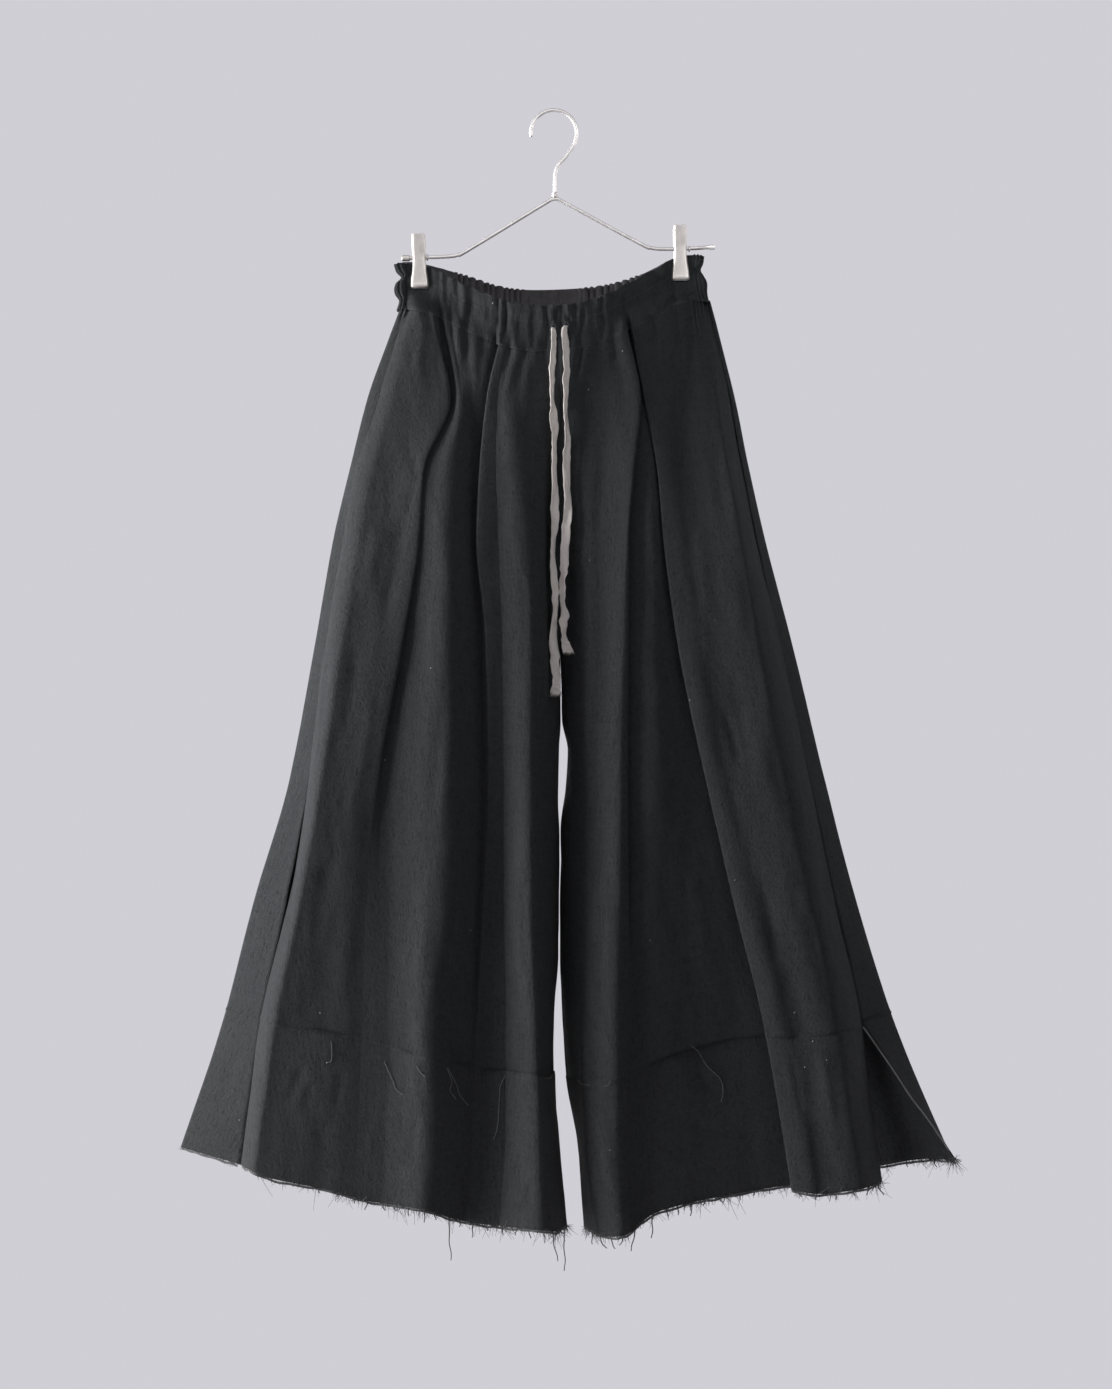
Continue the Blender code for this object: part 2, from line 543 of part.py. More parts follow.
def hem_line(folds, right, back):
    """The hem band's lower edge in metres, from left to right along the cloth."""
    return draw_back(to_world(panel_grid(folds, right, back, HEM_PARTS)))[:, 1]


def thread_stations(line, threads):
    """The strip's points: the hem's own corners and two root corners for each thread."""
    long = np.concatenate(([0], np.cumsum(np.linalg.norm(np.diff(line, axis=0), axis=1))))
    half = THREAD_WIDE * MM / 2
    stations = [(place, None) for place in long]
    fine = np.linspace(0, long[-1], HEM_STEPS)
    reach = np.interp(fine, long, line[:, 0])
    for thread in threads:
        middle = fine[np.argmin(np.abs(reach - (thread.across - HOOK_ACROSS) * MM))]
        middle = min(max(middle, 2 * half), long[-1] - 2 * half)
        near = [station for station in stations if abs(station[0] - middle) < 2 * half]
        for station in near:
            stations.remove(station)
        stations += [(middle - half, thread), (middle + half, None)]
    stations.sort(key=lambda station: station[0])
    places = np.stack([np.interp([s for s, _ in stations], long, line[:, k]) for k in range(3)], -1)
    return places, [thread for _, thread in stations]


def make_fray(name, folds, right, back, threads, collection, material):
    """The frayed strip below one hem band, with a thread drawn out of it at each root."""
    places, roots = thread_stations(hem_line(folds, right, back), threads)
    down = Vector((0, 0, -1))
    mesh = bmesh.new()
    rings = []
    for k, place in enumerate(places):
        ahead = places[min(k + 1, len(places) - 1)] - places[max(k - 1, 0)]
        out = Vector((ahead[1], -ahead[0], 0)).normalized() * WALL * MM / 2
        top = Vector(place) + down * FRAY_GAP * MM
        foot = top + down * FRAY_DEEP * MM
        rings.append([mesh.verts.new(p) for p in (top + out, top - out, foot - out, foot + out)])
    mesh.faces.new(rings[0][::-1])
    mesh.faces.new(rings[-1])
    feet = {}
    for k in range(len(rings) - 1):
        for a in range(4):
            b = (a + 1) % 4
            face = mesh.faces.new((rings[k][a], rings[k][b], rings[k + 1][b], rings[k + 1][a]))
            if a == 2 and roots[k]:
                feet[face] = roots[k]
    for face, thread in feet.items():
        grown = bmesh.ops.extrude_discrete_faces(mesh, faces=[face])["faces"][0]
        bend = Vector((thread.drift * MM, 0, -thread.long * MM))
        middle = grown.calc_center_median()
        for vert in grown.verts:
            vert.co = middle + bend + (vert.co - middle) * THREAD_TIP
    bmesh.ops.recalc_face_normals(mesh, faces=mesh.faces)
    data = bpy.data.meshes.new(name)
    mesh.to_mesh(data)
    mesh.free()
    data.materials.append(material)
    collection.objects.link(bpy.data.objects.new(name, data))


def gather_columns(gathers, steps=STEPS_PER_GATHER):
    """Places across the waistband, a few to each gather, and how far each is along its gather."""
    turns = np.linspace(0, len(gathers) - 1, (len(gathers) - 1) * steps + 1)
    return np.interp(turns, np.arange(len(gathers)), gathers), turns


def waistband_grid(back, rows=WAISTBAND_ROWS, steps=STEPS_PER_GATHER):
    """Points of the front or back waistband, from its left end to its right."""
    out = 1.0 if back else -1.0
    top_field, foot_field, edge_field = (
        ("back_top", "back_foot", "back_edge") if back else ("front_top", "front_foot", "front_edge"))
    weights = sheet_weights(len(WAIST_STATIONS), WAIST_CURVE_STEPS)
    across, top, foot, edge = (
        weights @ np.array([getattr(station, field) for station in WAIST_STATIONS], float)
        for field in ("across", top_field, foot_field, edge_field))
    along = np.concatenate(([0], np.cumsum(np.hypot(np.diff(across), np.diff(foot)))))
    places, turns = gather_columns(GATHERS_BACK if back else GATHERS_FRONT, steps)
    stretch = np.interp(places, (places[0], places[-1]), (along[0], along[-1]))
    across, top, foot, edge = (np.interp(stretch, along, line) for line in (across, top, foot, edge))
    held = np.ones(len(across))
    for low, high in CLIP_SPANS:
        held *= 1 - ease(low - CLIP_EASE, low, across) * (1 - ease(high, high + CLIP_EASE, across))
    wave = -np.cos(turns * 2 * math.pi)
    grid = np.zeros((len(across), len(rows), 3))
    for j, row in enumerate(rows):
        depth = top + (foot - top) * ease(CLIP_GRIP, 1.0, row.part)
        spread = WAIST_RIGHT_SPREAD * row.part * ease(MIDDLE_ACROSS, places[-1], across)
        slope_across = np.gradient(across)
        slope_depth = np.gradient(depth)
        size = np.hypot(slope_across, slope_depth)
        rise = row.gather * wave * held + row.puff * (CLIP_PUFF + (1 - CLIP_PUFF) * held)
        grid[:, j, 0] = across + spread - out * slope_depth / size * rise
        grid[:, j, 1] = edge + WAISTBAND_DEEP * row.part
        grid[:, j, 2] = depth + out * slope_across / size * rise
        grid[0, j, (0, 2)] = across[0] - row.puff, 0.0
        grid[-1, j, (0, 2)] = across[-1] + spread[-1] + row.puff, 0.0
    grid[:, -1, 1] = waist_foot(grid[:, -1, 0], back)
    return grid


def make_waistbands(collection, material):
    for name, back in (("front", False), ("back", True)):
        points = to_world(waistband_grid(back))
        sheet_object(f"waistband_{name}", draw_back(points), collection, material)


def smooth_route(points, count):
    """Points along a Catmull-Rom curve through the given rows."""
    rows = np.array([tuple(point) for point in points], float)
    ends = np.vstack([2 * rows[0] - rows[1], rows, 2 * rows[-1] - rows[-2]])
    at = np.linspace(0, len(rows) - 1, count)
    i = np.clip(at.astype(int), 0, len(rows) - 2)
    t = (at - i)[:, None]
    a, b, c, d = (ends[i + k] for k in range(4))
    return 0.5 * (2 * b + (c - a) * t + (2 * a - 5 * b + 4 * c - d) * t**2
                  + (3 * b - a - 3 * c + d) * t**3)


def make_tape(name, points, collection, material):
    """A flat tape along a route: one flat section at each step, turned about the route."""
    route = smooth_route(points, 2 * len(points) - 1)
    sides = len(TAPE_SECTION)
    verts = []
    for place, turn in zip(to_world(route[:, :3]), np.radians(route[:, 3])):
        for wide, thick in TAPE_SECTION:
            x = (wide * math.cos(turn) - thick * math.sin(turn)) * MM
            y = (wide * math.sin(turn) + thick * math.cos(turn)) * MM
            verts.append((place[0] + x, place[1] + y, place[2]))
    faces = [tuple(range(sides)), tuple(range(len(verts) - 1, len(verts) - 1 - sides, -1))]
    for step in range(len(route) - 1):
        for side in range(sides):
            here, after = step * sides + side, step * sides + (side + 1) % sides
            faces.append((here, here + sides, after + sides, after))
    mesh = bpy.data.meshes.new(name)
    mesh.from_pydata(verts, [], faces)
    mesh.materials.append(material)
    collection.objects.link(bpy.data.objects.new(name, mesh))


def make_wire(name, points, radius, collection, material):
    curve = bpy.data.curves.new(name, "CURVE")
    curve.dimensions = "3D"
    curve.bevel_depth = radius * MM
    curve.bevel_resolution = 2
    curve.use_fill_caps = True
    spline = curve.splines.new("POLY")
    spline.points.add(len(points) - 1)
    for point, (across, down) in zip(spline.points, points):
        point.co = ((across - HOOK_ACROSS) * MM, 0.0, (HOOK_DOWN - down) * MM, 1.0)
    curve.materials.append(material)
    collection.objects.link(bpy.data.objects.new(name, curve))


def make_turned(name, profile, place, turned_to, collection, material):
    """A round piece: a profile of (radius, along) pairs turned about its axis, then laid over."""
    mesh = bpy.data.meshes.new(name)
    verts = [(radius * MM, 0.0, along * MM) for radius, along in profile]
    joins = [(k, k + 1) for k in range(len(verts) - 1)]
    if profile[0][0] > 0:
        joins.append((len(verts) - 1, 0))
    mesh.from_pydata(verts, joins, [])
    mesh.materials.append(material)
    obj = bpy.data.objects.new(name, mesh)
    collection.objects.link(obj)
    across, down = place
    obj.location = ((across - HOOK_ACROSS) * MM, 0.0, (HOOK_DOWN - down) * MM)
    obj.rotation_euler = (0.0, math.radians(turned_to), 0.0)
    turn = obj.modifiers.new("turn", "SCREW")
    turn.steps = TURN_STEPS
    turn.render_steps = TURN_STEPS
    turn.use_merge_vertices = True
    turn.merge_threshold = JOIN_NEAR
    turn.use_normal_calculate = True


def turned_profile(inner, outer, long, bevel):
    """Half the outline of a ring, or of a knob where inner is 0, with its outer corners cut off."""
    half = long / 2
    return ((inner, half), (outer - bevel, half), (outer, half - bevel), (outer, bevel - half),
            (outer - bevel, -half), (inner, -half))


def make_hanger(collection, wire, clip_steel):
    crook = []
    start, end = (math.radians(angle) for angle in CROOK_TURN)
    for k in range(CROOK_STEPS + 1):
        angle = start + (end - start) * k / CROOK_STEPS
        crook.append((HOOK_ACROSS + CROOK_RADIUS * math.cos(angle),
                      CROOK_CENTRE_DOWN - CROOK_RADIUS * math.sin(angle)))
    make_wire("hanger_hook", crook + list(HOOK_SHANK), WIRE_RADIUS, collection, wire)
    make_wire("hanger_arms", ARM_POINTS, WIRE_RADIUS, collection, wire)
    knob = turned_profile(0.0, COLLAR_RADIUS, COLLAR_LONG, KNOB_BEVEL)
    make_turned("hanger_collar", knob, (COLLAR_ACROSS, COLLAR_DOWN), 0, collection, wire)
    ring = turned_profile(WIRE_HOLE, RIGHT_BEAD_RADIUS, BEAD_LONG, RING_BEVEL)
    make_turned("hanger_bead_right", ring, RIGHT_BEAD, 90, collection, clip_steel)
    knob = turned_profile(0.0, LEFT_BEAD_RADIUS, BEAD_LONG, KNOB_BEVEL)
    make_turned("hanger_bead_left", knob, LEFT_BEAD, 90, collection, clip_steel)


def clip_plate(name, clip, out, collection, material):
    """One leaf of a clip: a waisted plate, bent out at the handle and in at the jaw."""
    tall = clip.foot - clip.top
    mesh = bmesh.new()
    lines = []
    for row in LEAF_ROWS:
        middle = (clip.across - HOOK_ACROSS + clip.lean * (row.part - 0.5)) * MM
        height = (HOOK_DOWN - clip.top - row.part * tall) * MM
        side = row.wide / 2 * MM
        line = [(middle + at * side, out * row.opened * MM, height) for at in (-1, 0, 1)]
        lines.append([mesh.verts.new(point) for point in line])
    for low, high in zip(lines, lines[1:]):
        for k in range(2):
            mesh.faces.new((low[k], low[k + 1], high[k + 1], high[k]))
    data = bpy.data.meshes.new(name)
    mesh.to_mesh(data)
    mesh.free()
    data.materials.append(material)
    obj = bpy.data.objects.new(name, data)
    collection.objects.link(obj)
    plate = obj.modifiers.new("plate", "SOLIDIFY")
    plate.thickness = CLIP_PLATE * MM
    plate.offset = 0.0


def make_clips(collection, material):
    for clip in CLIPS:
        for leaf, out in (("front", -1.0), ("back", 1.0)):
            clip_plate(f"clip_{clip.name}_{leaf}", clip, out, collection, material)
        ring = turned_profile(WIRE_HOLE, SPRING_RADIUS, SPRING_LONG, RING_BEVEL)
        wire_down = np.interp(clip.across, *zip(*ARM_POINTS))
        make_turned(f"clip_{clip.name}_spring", ring, (clip.across, wire_down), 90, collection, material)


def main():
    clear_scene()
    parts = make_collection("hakama_trousers_on_clip_hanger")
    materials = make_materials()
    make_waistbands(parts, materials["linen_black"])
    make_panels(parts, materials["linen_black"])
    for name, folds, right, back, threads in PANELS:
        make_fray(f"fray_{name}", folds, right, back, threads, parts, materials["linen_black"])
    make_tape("drawstring_right", DRAWSTRING_RIGHT, parts, materials["tape_cream"])
    make_tape("drawstring_left", DRAWSTRING_LEFT, parts, materials["tape_cream"])
    make_hanger(parts, materials["wire_steel"], materials["clip_steel"])
    make_clips(parts, materials["clip_steel"])


main()
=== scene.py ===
# %% [markdown]
# # Hakama trousers on a clip hanger
# These are wide, pleated linen trousers with a gathered waist, hung by two clips from a wire
# hanger. Each cell makes one piece or one finish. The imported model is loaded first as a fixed
# frame, and every piece made here lies on it, so that the sizes never change.

import collections
import math

import bpy
import numpy as np
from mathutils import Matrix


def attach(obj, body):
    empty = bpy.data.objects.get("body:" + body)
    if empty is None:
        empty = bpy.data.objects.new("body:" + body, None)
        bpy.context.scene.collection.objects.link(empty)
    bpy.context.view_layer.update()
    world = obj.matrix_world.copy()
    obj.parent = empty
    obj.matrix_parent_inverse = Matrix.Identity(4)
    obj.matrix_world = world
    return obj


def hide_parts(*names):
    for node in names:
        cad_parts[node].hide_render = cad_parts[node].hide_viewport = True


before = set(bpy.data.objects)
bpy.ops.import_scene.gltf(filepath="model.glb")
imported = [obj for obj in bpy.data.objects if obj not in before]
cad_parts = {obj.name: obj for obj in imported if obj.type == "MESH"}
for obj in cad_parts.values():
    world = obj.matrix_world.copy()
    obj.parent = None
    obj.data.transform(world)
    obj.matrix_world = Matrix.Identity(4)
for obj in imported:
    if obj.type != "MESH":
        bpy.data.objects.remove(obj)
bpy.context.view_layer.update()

# %% [markdown]
# ## The working grid
# A tailor's drawing is flat, so the tables below give places in millimetres across and down a
# drawing, and a depth towards the front (minus) or the back (plus). The hook's top is at
# (554, 112). Cloth that hangs nearer to the eye looks larger, so the drawing is taken in a little
# with depth. The camera stands at exactly that eye, 3.2 m in front of the middle.

# %% Grid and camera
MM = 0.001
HOOK_ACROSS, HOOK_DOWN = 554.0, 112.0
MIDDLE_ACROSS, MIDDLE_DOWN = 556.0, 694.5
EYE_REACH = 3200.0
DRAWING_HIGH = 1389.0
SENSOR = 36.0


def to_world(grid):
    """Drawing points (across, down, depth) in millimetres, as metres in the scene."""
    grid = np.asarray(grid, float)
    draw = 1 + grid[..., 2] / EYE_REACH
    across = MIDDLE_ACROSS + (grid[..., 0] - MIDDLE_ACROSS) * draw
    down = MIDDLE_DOWN + (grid[..., 1] - MIDDLE_DOWN) * draw
    return np.stack([across - HOOK_ACROSS, grid[..., 2], HOOK_DOWN - down], -1) * MM


def to_grid(points):
    """The way back, from metres to drawing points."""
    points = np.asarray(points, float) / MM
    draw = 1 + points[..., 1] / EYE_REACH
    across = MIDDLE_ACROSS + (points[..., 0] + HOOK_ACROSS - MIDDLE_ACROSS) / draw
    down = MIDDLE_DOWN + (HOOK_DOWN - points[..., 2] - MIDDLE_DOWN) / draw
    return np.stack([across, down, points[..., 1]], -1)


lens = bpy.data.cameras.new("front_camera")
lens.sensor_width = SENSOR
lens.lens = SENSOR * EYE_REACH / DRAWING_HIGH
camera = bpy.data.objects.new("front_camera", lens)
camera.location = to_world((MIDDLE_ACROSS, MIDDLE_DOWN, 0.0))
camera.location.y = -EYE_REACH * MM
camera.rotation_euler = (math.radians(90), 0.0, 0.0)
bpy.context.scene.collection.objects.link(camera)
bpy.context.scene.camera = camera
print("camera lens mm:", round(lens.lens, 2), "at", [round(x, 3) for x in camera.location])

# %% [markdown]
# ## Pieces made of grids
# Cloth is a grid of points: columns across it and rows down it. It could be modelled by hand and
# subdivided, but a computed grid keeps every pleat where its table puts it. A UV map in real metres
# lets the weave follow the cloth.

# %% Grid helpers
NO_LENGTH = 1e-12


def rows_of(kind, *rows):
    """A table: each row of values becomes one record with named columns."""
    return tuple(kind(*row) for row in rows)


def unit(vectors):
    """Vectors scaled to a length of one. A vector with no length stays as it is."""
    return vectors / (np.linalg.norm(vectors, axis=-1, keepdims=True) + NO_LENGTH)


def walked(line):
    """How far along a line each of its points is."""
    return np.concatenate(([0], np.cumsum(np.linalg.norm(np.diff(line, axis=0), axis=1))))


def lay_map(data, name, places):
    """Gives a mesh a UV map from one place for each vertex."""
    layer = data.uv_layers.new(name=name, do_init=False)
    index = np.zeros(len(data.loops), np.int32)
    data.loops.foreach_get("vertex_index", index)
    layer.uv.foreach_set("vector", np.asarray(places)[index].astype(np.float32).ravel())


def make_piece(name, verts, faces, places, material, slot, node=()):
    """A smooth mesh piece that rides on the one body and stands for the named nodes."""
    data = bpy.data.meshes.new(name)
    data.from_pydata(np.asarray(verts).reshape(-1, 3).tolist(), [], np.asarray(faces).tolist())
    data.shade_smooth()
    lay_map(data, "cloth", places)
    data.materials.append(material)
    piece = bpy.data.objects.new(name, data)
    bpy.context.scene.collection.objects.link(piece)
    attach(piece, "root")
    if node:
        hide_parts(*node)
    return piece


def grid_faces(columns, rows, turned=False):
    """Four-sided faces of a grid of points. Turned faces look the other way."""
    start = (np.arange(columns - 1)[:, None] * rows + np.arange(rows - 1)).ravel()
    faces = np.stack([start, start + 1, start + rows + 1, start + rows], -1)
    return faces[:, ::-1] if turned else faces


print("grid helpers ready")

# %% [markdown]
# ## Pieces made of tubes
# A thread, a stitch or a wire is round, so each is a tube along a line of points. Blender's curves
# could be bevelled for this, but there are thousands of fibres, and numpy makes them all at once.

# %% Tube helpers
def tube_mesh(lines, radii, sides, beside):
    """Tubes along many lines at once: points, faces and map places. Their ends taper to closed."""
    lines = np.asarray(lines, float)
    many, rings = lines.shape[:2]
    radii = np.broadcast_to(radii, (many, rings)).copy()
    ahead = unit(np.gradient(lines, axis=1))
    first = unit(np.cross(ahead, np.broadcast_to(beside, ahead.shape)))
    second = np.cross(ahead, first)
    turn = np.arange(sides) * 2 * math.pi / sides
    ring = first[:, :, None] * np.cos(turn)[:, None] + second[:, :, None] * np.sin(turn)[:, None]
    verts = lines[:, :, None] + ring * radii[:, :, None, None]
    side, step = np.meshgrid(np.arange(sides), np.arange(rings - 1))
    side, step, after = side.ravel(), step.ravel(), (side.ravel() + 1) % sides
    quad = np.stack([step * sides + side, step * sides + after,
                     (step + 1) * sides + after, (step + 1) * sides + side], -1)
    faces = (np.arange(many)[:, None, None] * rings * sides + quad).reshape(-1, 4)
    length = np.concatenate([np.zeros((many, 1)), np.cumsum(
        np.linalg.norm(np.diff(lines, axis=1), axis=2), axis=1)], 1)
    around = np.broadcast_to(turn * radii.mean(), verts.shape[:3])
    along = np.broadcast_to(length[:, :, None], verts.shape[:3])
    return verts.reshape(-1, 3), faces, np.stack([around, along], -1).reshape(-1, 2)


def make_tubes(name, lines, radii, sides, beside, material, slot, node=()):
    """One piece made of tubes along the lines."""
    verts, faces, places = tube_mesh(lines, radii, sides, beside)
    return make_piece(name, verts, faces, places, material, slot, node)


print("tube helpers ready")

# %% [markdown]
# ## Curves and chance
# A table gives only a few places, and a smooth curve joins them. Two kinds serve: one passes
# through points in space, and the other follows values down the cloth and never swings past them,
# so that a pleat's edge doesn't bulge. Chance comes from seeded tables, so each run is the same.

# %% Curve helpers
def smooth_route(rows, count):
    """Evenly numbered points along a smooth curve through the rows."""
    rows = np.array([tuple(row) for row in rows], float)
    ends = np.vstack([2 * rows[0] - rows[1], rows, 2 * rows[-1] - rows[-2]])
    at = np.linspace(0, len(rows) - 1, count)
    i = np.clip(at.astype(int), 0, len(rows) - 2)
    t = (at - i)[:, None]
    a, b, c, d = (ends[i + k] for k in range(4))
    return 0.5 * (2 * b + (c - a) * t + (2 * a - 5 * b + 4 * c - d) * t**2
                  + (3 * b - a - 3 * c + d) * t**3)


def smooth(downs, values, at):
    """A curve through the values at those heights that never swings past them."""
    downs, values, at = (np.asarray(x, float) for x in (downs, values, at))
    steps = np.diff(values) / np.diff(downs)
    slopes = np.zeros(len(values))
    slopes[0], slopes[-1] = steps[0], steps[-1]
    before, after = steps[:-1], steps[1:]
    same = before * after > 0
    slopes[1:-1][same] = 2 * before[same] * after[same] / (before[same] + after[same])
    inside = np.clip(at, downs[0], downs[-1])
    i = np.clip(np.searchsorted(downs, inside, side="right") - 1, 0, len(downs) - 2)
    span = downs[i + 1] - downs[i]
    t = (inside - downs[i]) / span
    start = values[i] * (1 + 2 * t) * (1 - t) ** 2 + slopes[i] * span * t * (1 - t) ** 2
    end = values[i + 1] * t**2 * (3 - 2 * t) + slopes[i + 1] * span * t**2 * (t - 1)
    past = np.minimum(at - downs[0], 0) * slopes[0] + np.maximum(at - downs[-1], 0) * slopes[-1]
    return start + end + past


def ease(start, end, at):
    """0 before start and 1 after end, with a soft change between them."""
    t = np.clip((np.asarray(at, float) - start) / (end - start), 0.0, 1.0)
    return t * t * (3 - 2 * t)


def patches(across, down, wide, long, seed):
    """Soft random heights from -1 to 1 in patches of about that width and length."""
    rng = np.random.default_rng(seed)
    x, y = np.asarray(across) / wide, np.asarray(down) / long
    x, y = x - x.min(), y - y.min()
    table = rng.uniform(-1, 1, (int(x.max()) + 2, int(y.max()) + 2))
    i, j = x.astype(int), y.astype(int)
    s, t = ease(0, 1, x - i), ease(0, 1, y - j)
    near = table[i, j] * (1 - s) + table[i + 1, j] * s
    far = table[i, j + 1] * (1 - s) + table[i + 1, j + 1] * s
    return near * (1 - t) + far * t


print("curve helpers ready")

# %% [markdown]
# ## Small steps for shader nodes
# A finish is a tree of nodes. Built by hand in the shader editor it can't be read as text, so each
# common step is a short function here: one node with its inputs, one Math node, one mean.

# %% Node helpers
MM_IN_METRE = 1000.0


def node(tree, kind, inputs=(), **settings):
    """Adds a node with its settings, and fills its inputs with values or with other sockets."""
    made = tree.nodes.new(kind)
    for name, value in settings.items():
        setattr(made, name, value)
    for name, value in dict(inputs).items():
        if isinstance(value, bpy.types.NodeSocket):
            tree.links.new(value, made.inputs[name])
        else:
            made.inputs[name].default_value = value
    return made


def sums(tree, operation, first, second=0.0, third=0.0):
    """One Math node, given and returned as sockets."""
    return node(tree, "ShaderNodeMath", {0: first, 1: second, 2: third},
                operation=operation).outputs[0]


def average(tree, first, second):
    """The mean of two values."""
    return sums(tree, "MULTIPLY_ADD", first, 0.5, sums(tree, "MULTIPLY", second, 0.5))


def each(tree, millimetres):
    """How many lengths of that many millimetres there are in a metre."""
    return sums(tree, "DIVIDE", MM_IN_METRE, millimetres)


print("node steps ready")

# %% [markdown]
# ## Small steps for patterns
# A pattern is noise at a place, so these steps stretch a place, push it about, look up the noise
# there and turn a height into a bump. A node group starts out empty, with named inputs and outputs.

# %% Pattern helpers
def stretched(tree, place, across, down):
    """A place scaled by two numbers, as a vector for a texture."""
    parts = node(tree, "ShaderNodeSeparateXYZ", {0: place})
    x = sums(tree, "MULTIPLY", parts.outputs[0], across)
    y = sums(tree, "MULTIPLY", parts.outputs[1], down)
    return node(tree, "ShaderNodeCombineXYZ", {0: x, 1: y, 2: parts.outputs[2]}).outputs[0]


def noise(tree, place, scale, detail=2.0, rough=0.5, output="Fac"):
    """Soft noise at a place."""
    return node(tree, "ShaderNodeTexNoise", {"Vector": place, "Scale": scale, "Detail": detail,
                                             "Roughness": rough}).outputs[output]


def pushed(tree, place, amount, scale, detail):
    """A place pushed about by soft noise."""
    drift = noise(tree, place, scale, detail, output="Color")
    move = node(tree, "ShaderNodeVectorMath", {0: drift, 1: amount}, operation="MULTIPLY")
    return node(tree, "ShaderNodeVectorMath", {0: place, 1: move.outputs[0]},
                operation="ADD").outputs[0]


def spread(tree, value, low, high, to_low=0.0, to_high=1.0):
    """Stretches part of a value's range over another range."""
    return node(tree, "ShaderNodeMapRange", {"Value": value, "From Min": low, "From Max": high,
                                             "To Min": to_low, "To Max": to_high}).outputs[0]


def bump(tree, height, deep, **below):
    """Turns a height into a normal. The bump is that many millimetres deep."""
    return node(tree, "ShaderNodeBump",
                {"Strength": 1.0, "Distance": deep * MM, "Height": height, **below}).outputs[0]


def fill(tree, sockets, values):
    """Joins finished values to named sockets."""
    for label, value in values.items():
        tree.links.new(value, sockets[label])


def new_group(name, inputs, outputs):
    """An empty node group with named float inputs after its Place, and float outputs."""
    tree = bpy.data.node_groups.new(name, "ShaderNodeTree")
    tree.interface.new_socket("Place", in_out="INPUT", socket_type="NodeSocketVector")
    for label, default in inputs.items():
        socket = tree.interface.new_socket(label, in_out="INPUT", socket_type="NodeSocketFloat")
        socket.default_value = default
    for label in outputs:
        tree.interface.new_socket(label, in_out="OUTPUT", socket_type="NodeSocketFloat")
    return tree, tree.nodes.new("NodeGroupInput").outputs, tree.nodes.new("NodeGroupOutput").inputs


print("pattern steps ready")

# %% [markdown]
# ## The weave
# A woven cloth is two sets of yarns that pass over and under each other. The product of two sine
# waves gives a knuckle at each crossing. Uneven yarns show as streaks along both directions, and
# now and then as a thick slub. The same pattern serves for the linen, the tape and the raw ends,
# so it is a node group, with its gauge and unevenness as inputs. It gives out only values.

# %% Weave group
DRIFT_SCALE = 0.07
LONG_STREAK = (0.42, 0.05)
CROSS_STREAK = (0.05, 0.45)
SLUB_RANGE = (0.6, 0.74)
GRAIN_HIGH = 1.6
SLUB_HIGH = 0.5

weave, given, result = new_group(
    "plain_weave", {"Gauge": 0.9, "Wander": 0.5}, ("Height", "Streaks", "Slubs"))
per_metre = each(weave, given["Gauge"])
yarns = stretched(weave, given["Place"], per_metre, per_metre)
yarns = pushed(weave, yarns, given["Wander"], DRIFT_SCALE, 1.0)
crossing = node(weave, "ShaderNodeSeparateXYZ", {0: yarns})
warp, weft = (sums(weave, "SINE", sums(weave, "MULTIPLY", crossing.outputs[k], math.pi))
              for k in (0, 1))
knuckles = sums(weave, "SQRT", sums(weave, "ABSOLUTE", sums(weave, "MULTIPLY", warp, weft)))
long_streaks, cross_streaks = (noise(weave, stretched(weave, yarns, *shape), 1.0, rough=0.6)
                               for shape in (LONG_STREAK, CROSS_STREAK))
grain = noise(weave, yarns, 0.5, rough=0.7)
slubs = spread(weave, long_streaks, *SLUB_RANGE)
rough_yarns = sums(weave, "MULTIPLY_ADD", grain, GRAIN_HIGH, knuckles)
fill(weave, result, {"Height": sums(weave, "MULTIPLY_ADD", slubs, SLUB_HIGH, rough_yarns),
                     "Streaks": average(weave, grain, average(weave, cross_streaks, long_streaks)),
                     "Slubs": slubs})
print("weave nodes:", len(weave.nodes))

# %% [markdown]
# ## Crinkle, lint and drawn metal
# Washed linen keeps soft creases, sharp along their tops: noise folded about its middle gives
# them. Lint lies in a few cells of a Voronoi pattern, chosen by each cell's own random colour. The
# hanger's metal has fine lines along it, where it was drawn or pressed, and faint smudges.

# %% Crinkle, lint and metal groups
LINT_CHANCE = 0.72
SMUDGE_SCALE = 90.0

crinkle, given, result = new_group(
    "washed_crinkle", {"Wide": 5.0, "Long": 18.0, "Bend": 1.1}, ("Height",))
folds = stretched(crinkle, given["Place"], each(crinkle, given["Wide"]),
                  each(crinkle, given["Long"]))
soft = noise(crinkle, pushed(crinkle, folds, given["Bend"], 0.45, 2.0), 1.0, 3.0, 0.55)
creased = sums(crinkle, "ABSOLUTE", sums(crinkle, "MULTIPLY_ADD", soft, 2.0, -1.0))
fill(crinkle, result, {"Height": sums(crinkle, "SUBTRACT", 1.0, creased)})

lint, given, result = new_group("lint_specks", {"Spacing": 14.0, "Size": 0.02}, ("Specks",))
per_metre = each(lint, given["Spacing"])
cells = node(lint, "ShaderNodeTexVoronoi",
             {"Vector": stretched(lint, given["Place"], per_metre, per_metre), "Scale": 1.0})
chance = node(lint, "ShaderNodeSeparateXYZ", {0: cells.outputs["Color"]}).outputs[0]
reach = sums(lint, "MULTIPLY", given["Size"], sums(lint, "GREATER_THAN", chance, LINT_CHANCE))
fill(lint, result, {"Specks": sums(lint, "LESS_THAN", cells.outputs["Distance"], reach)})

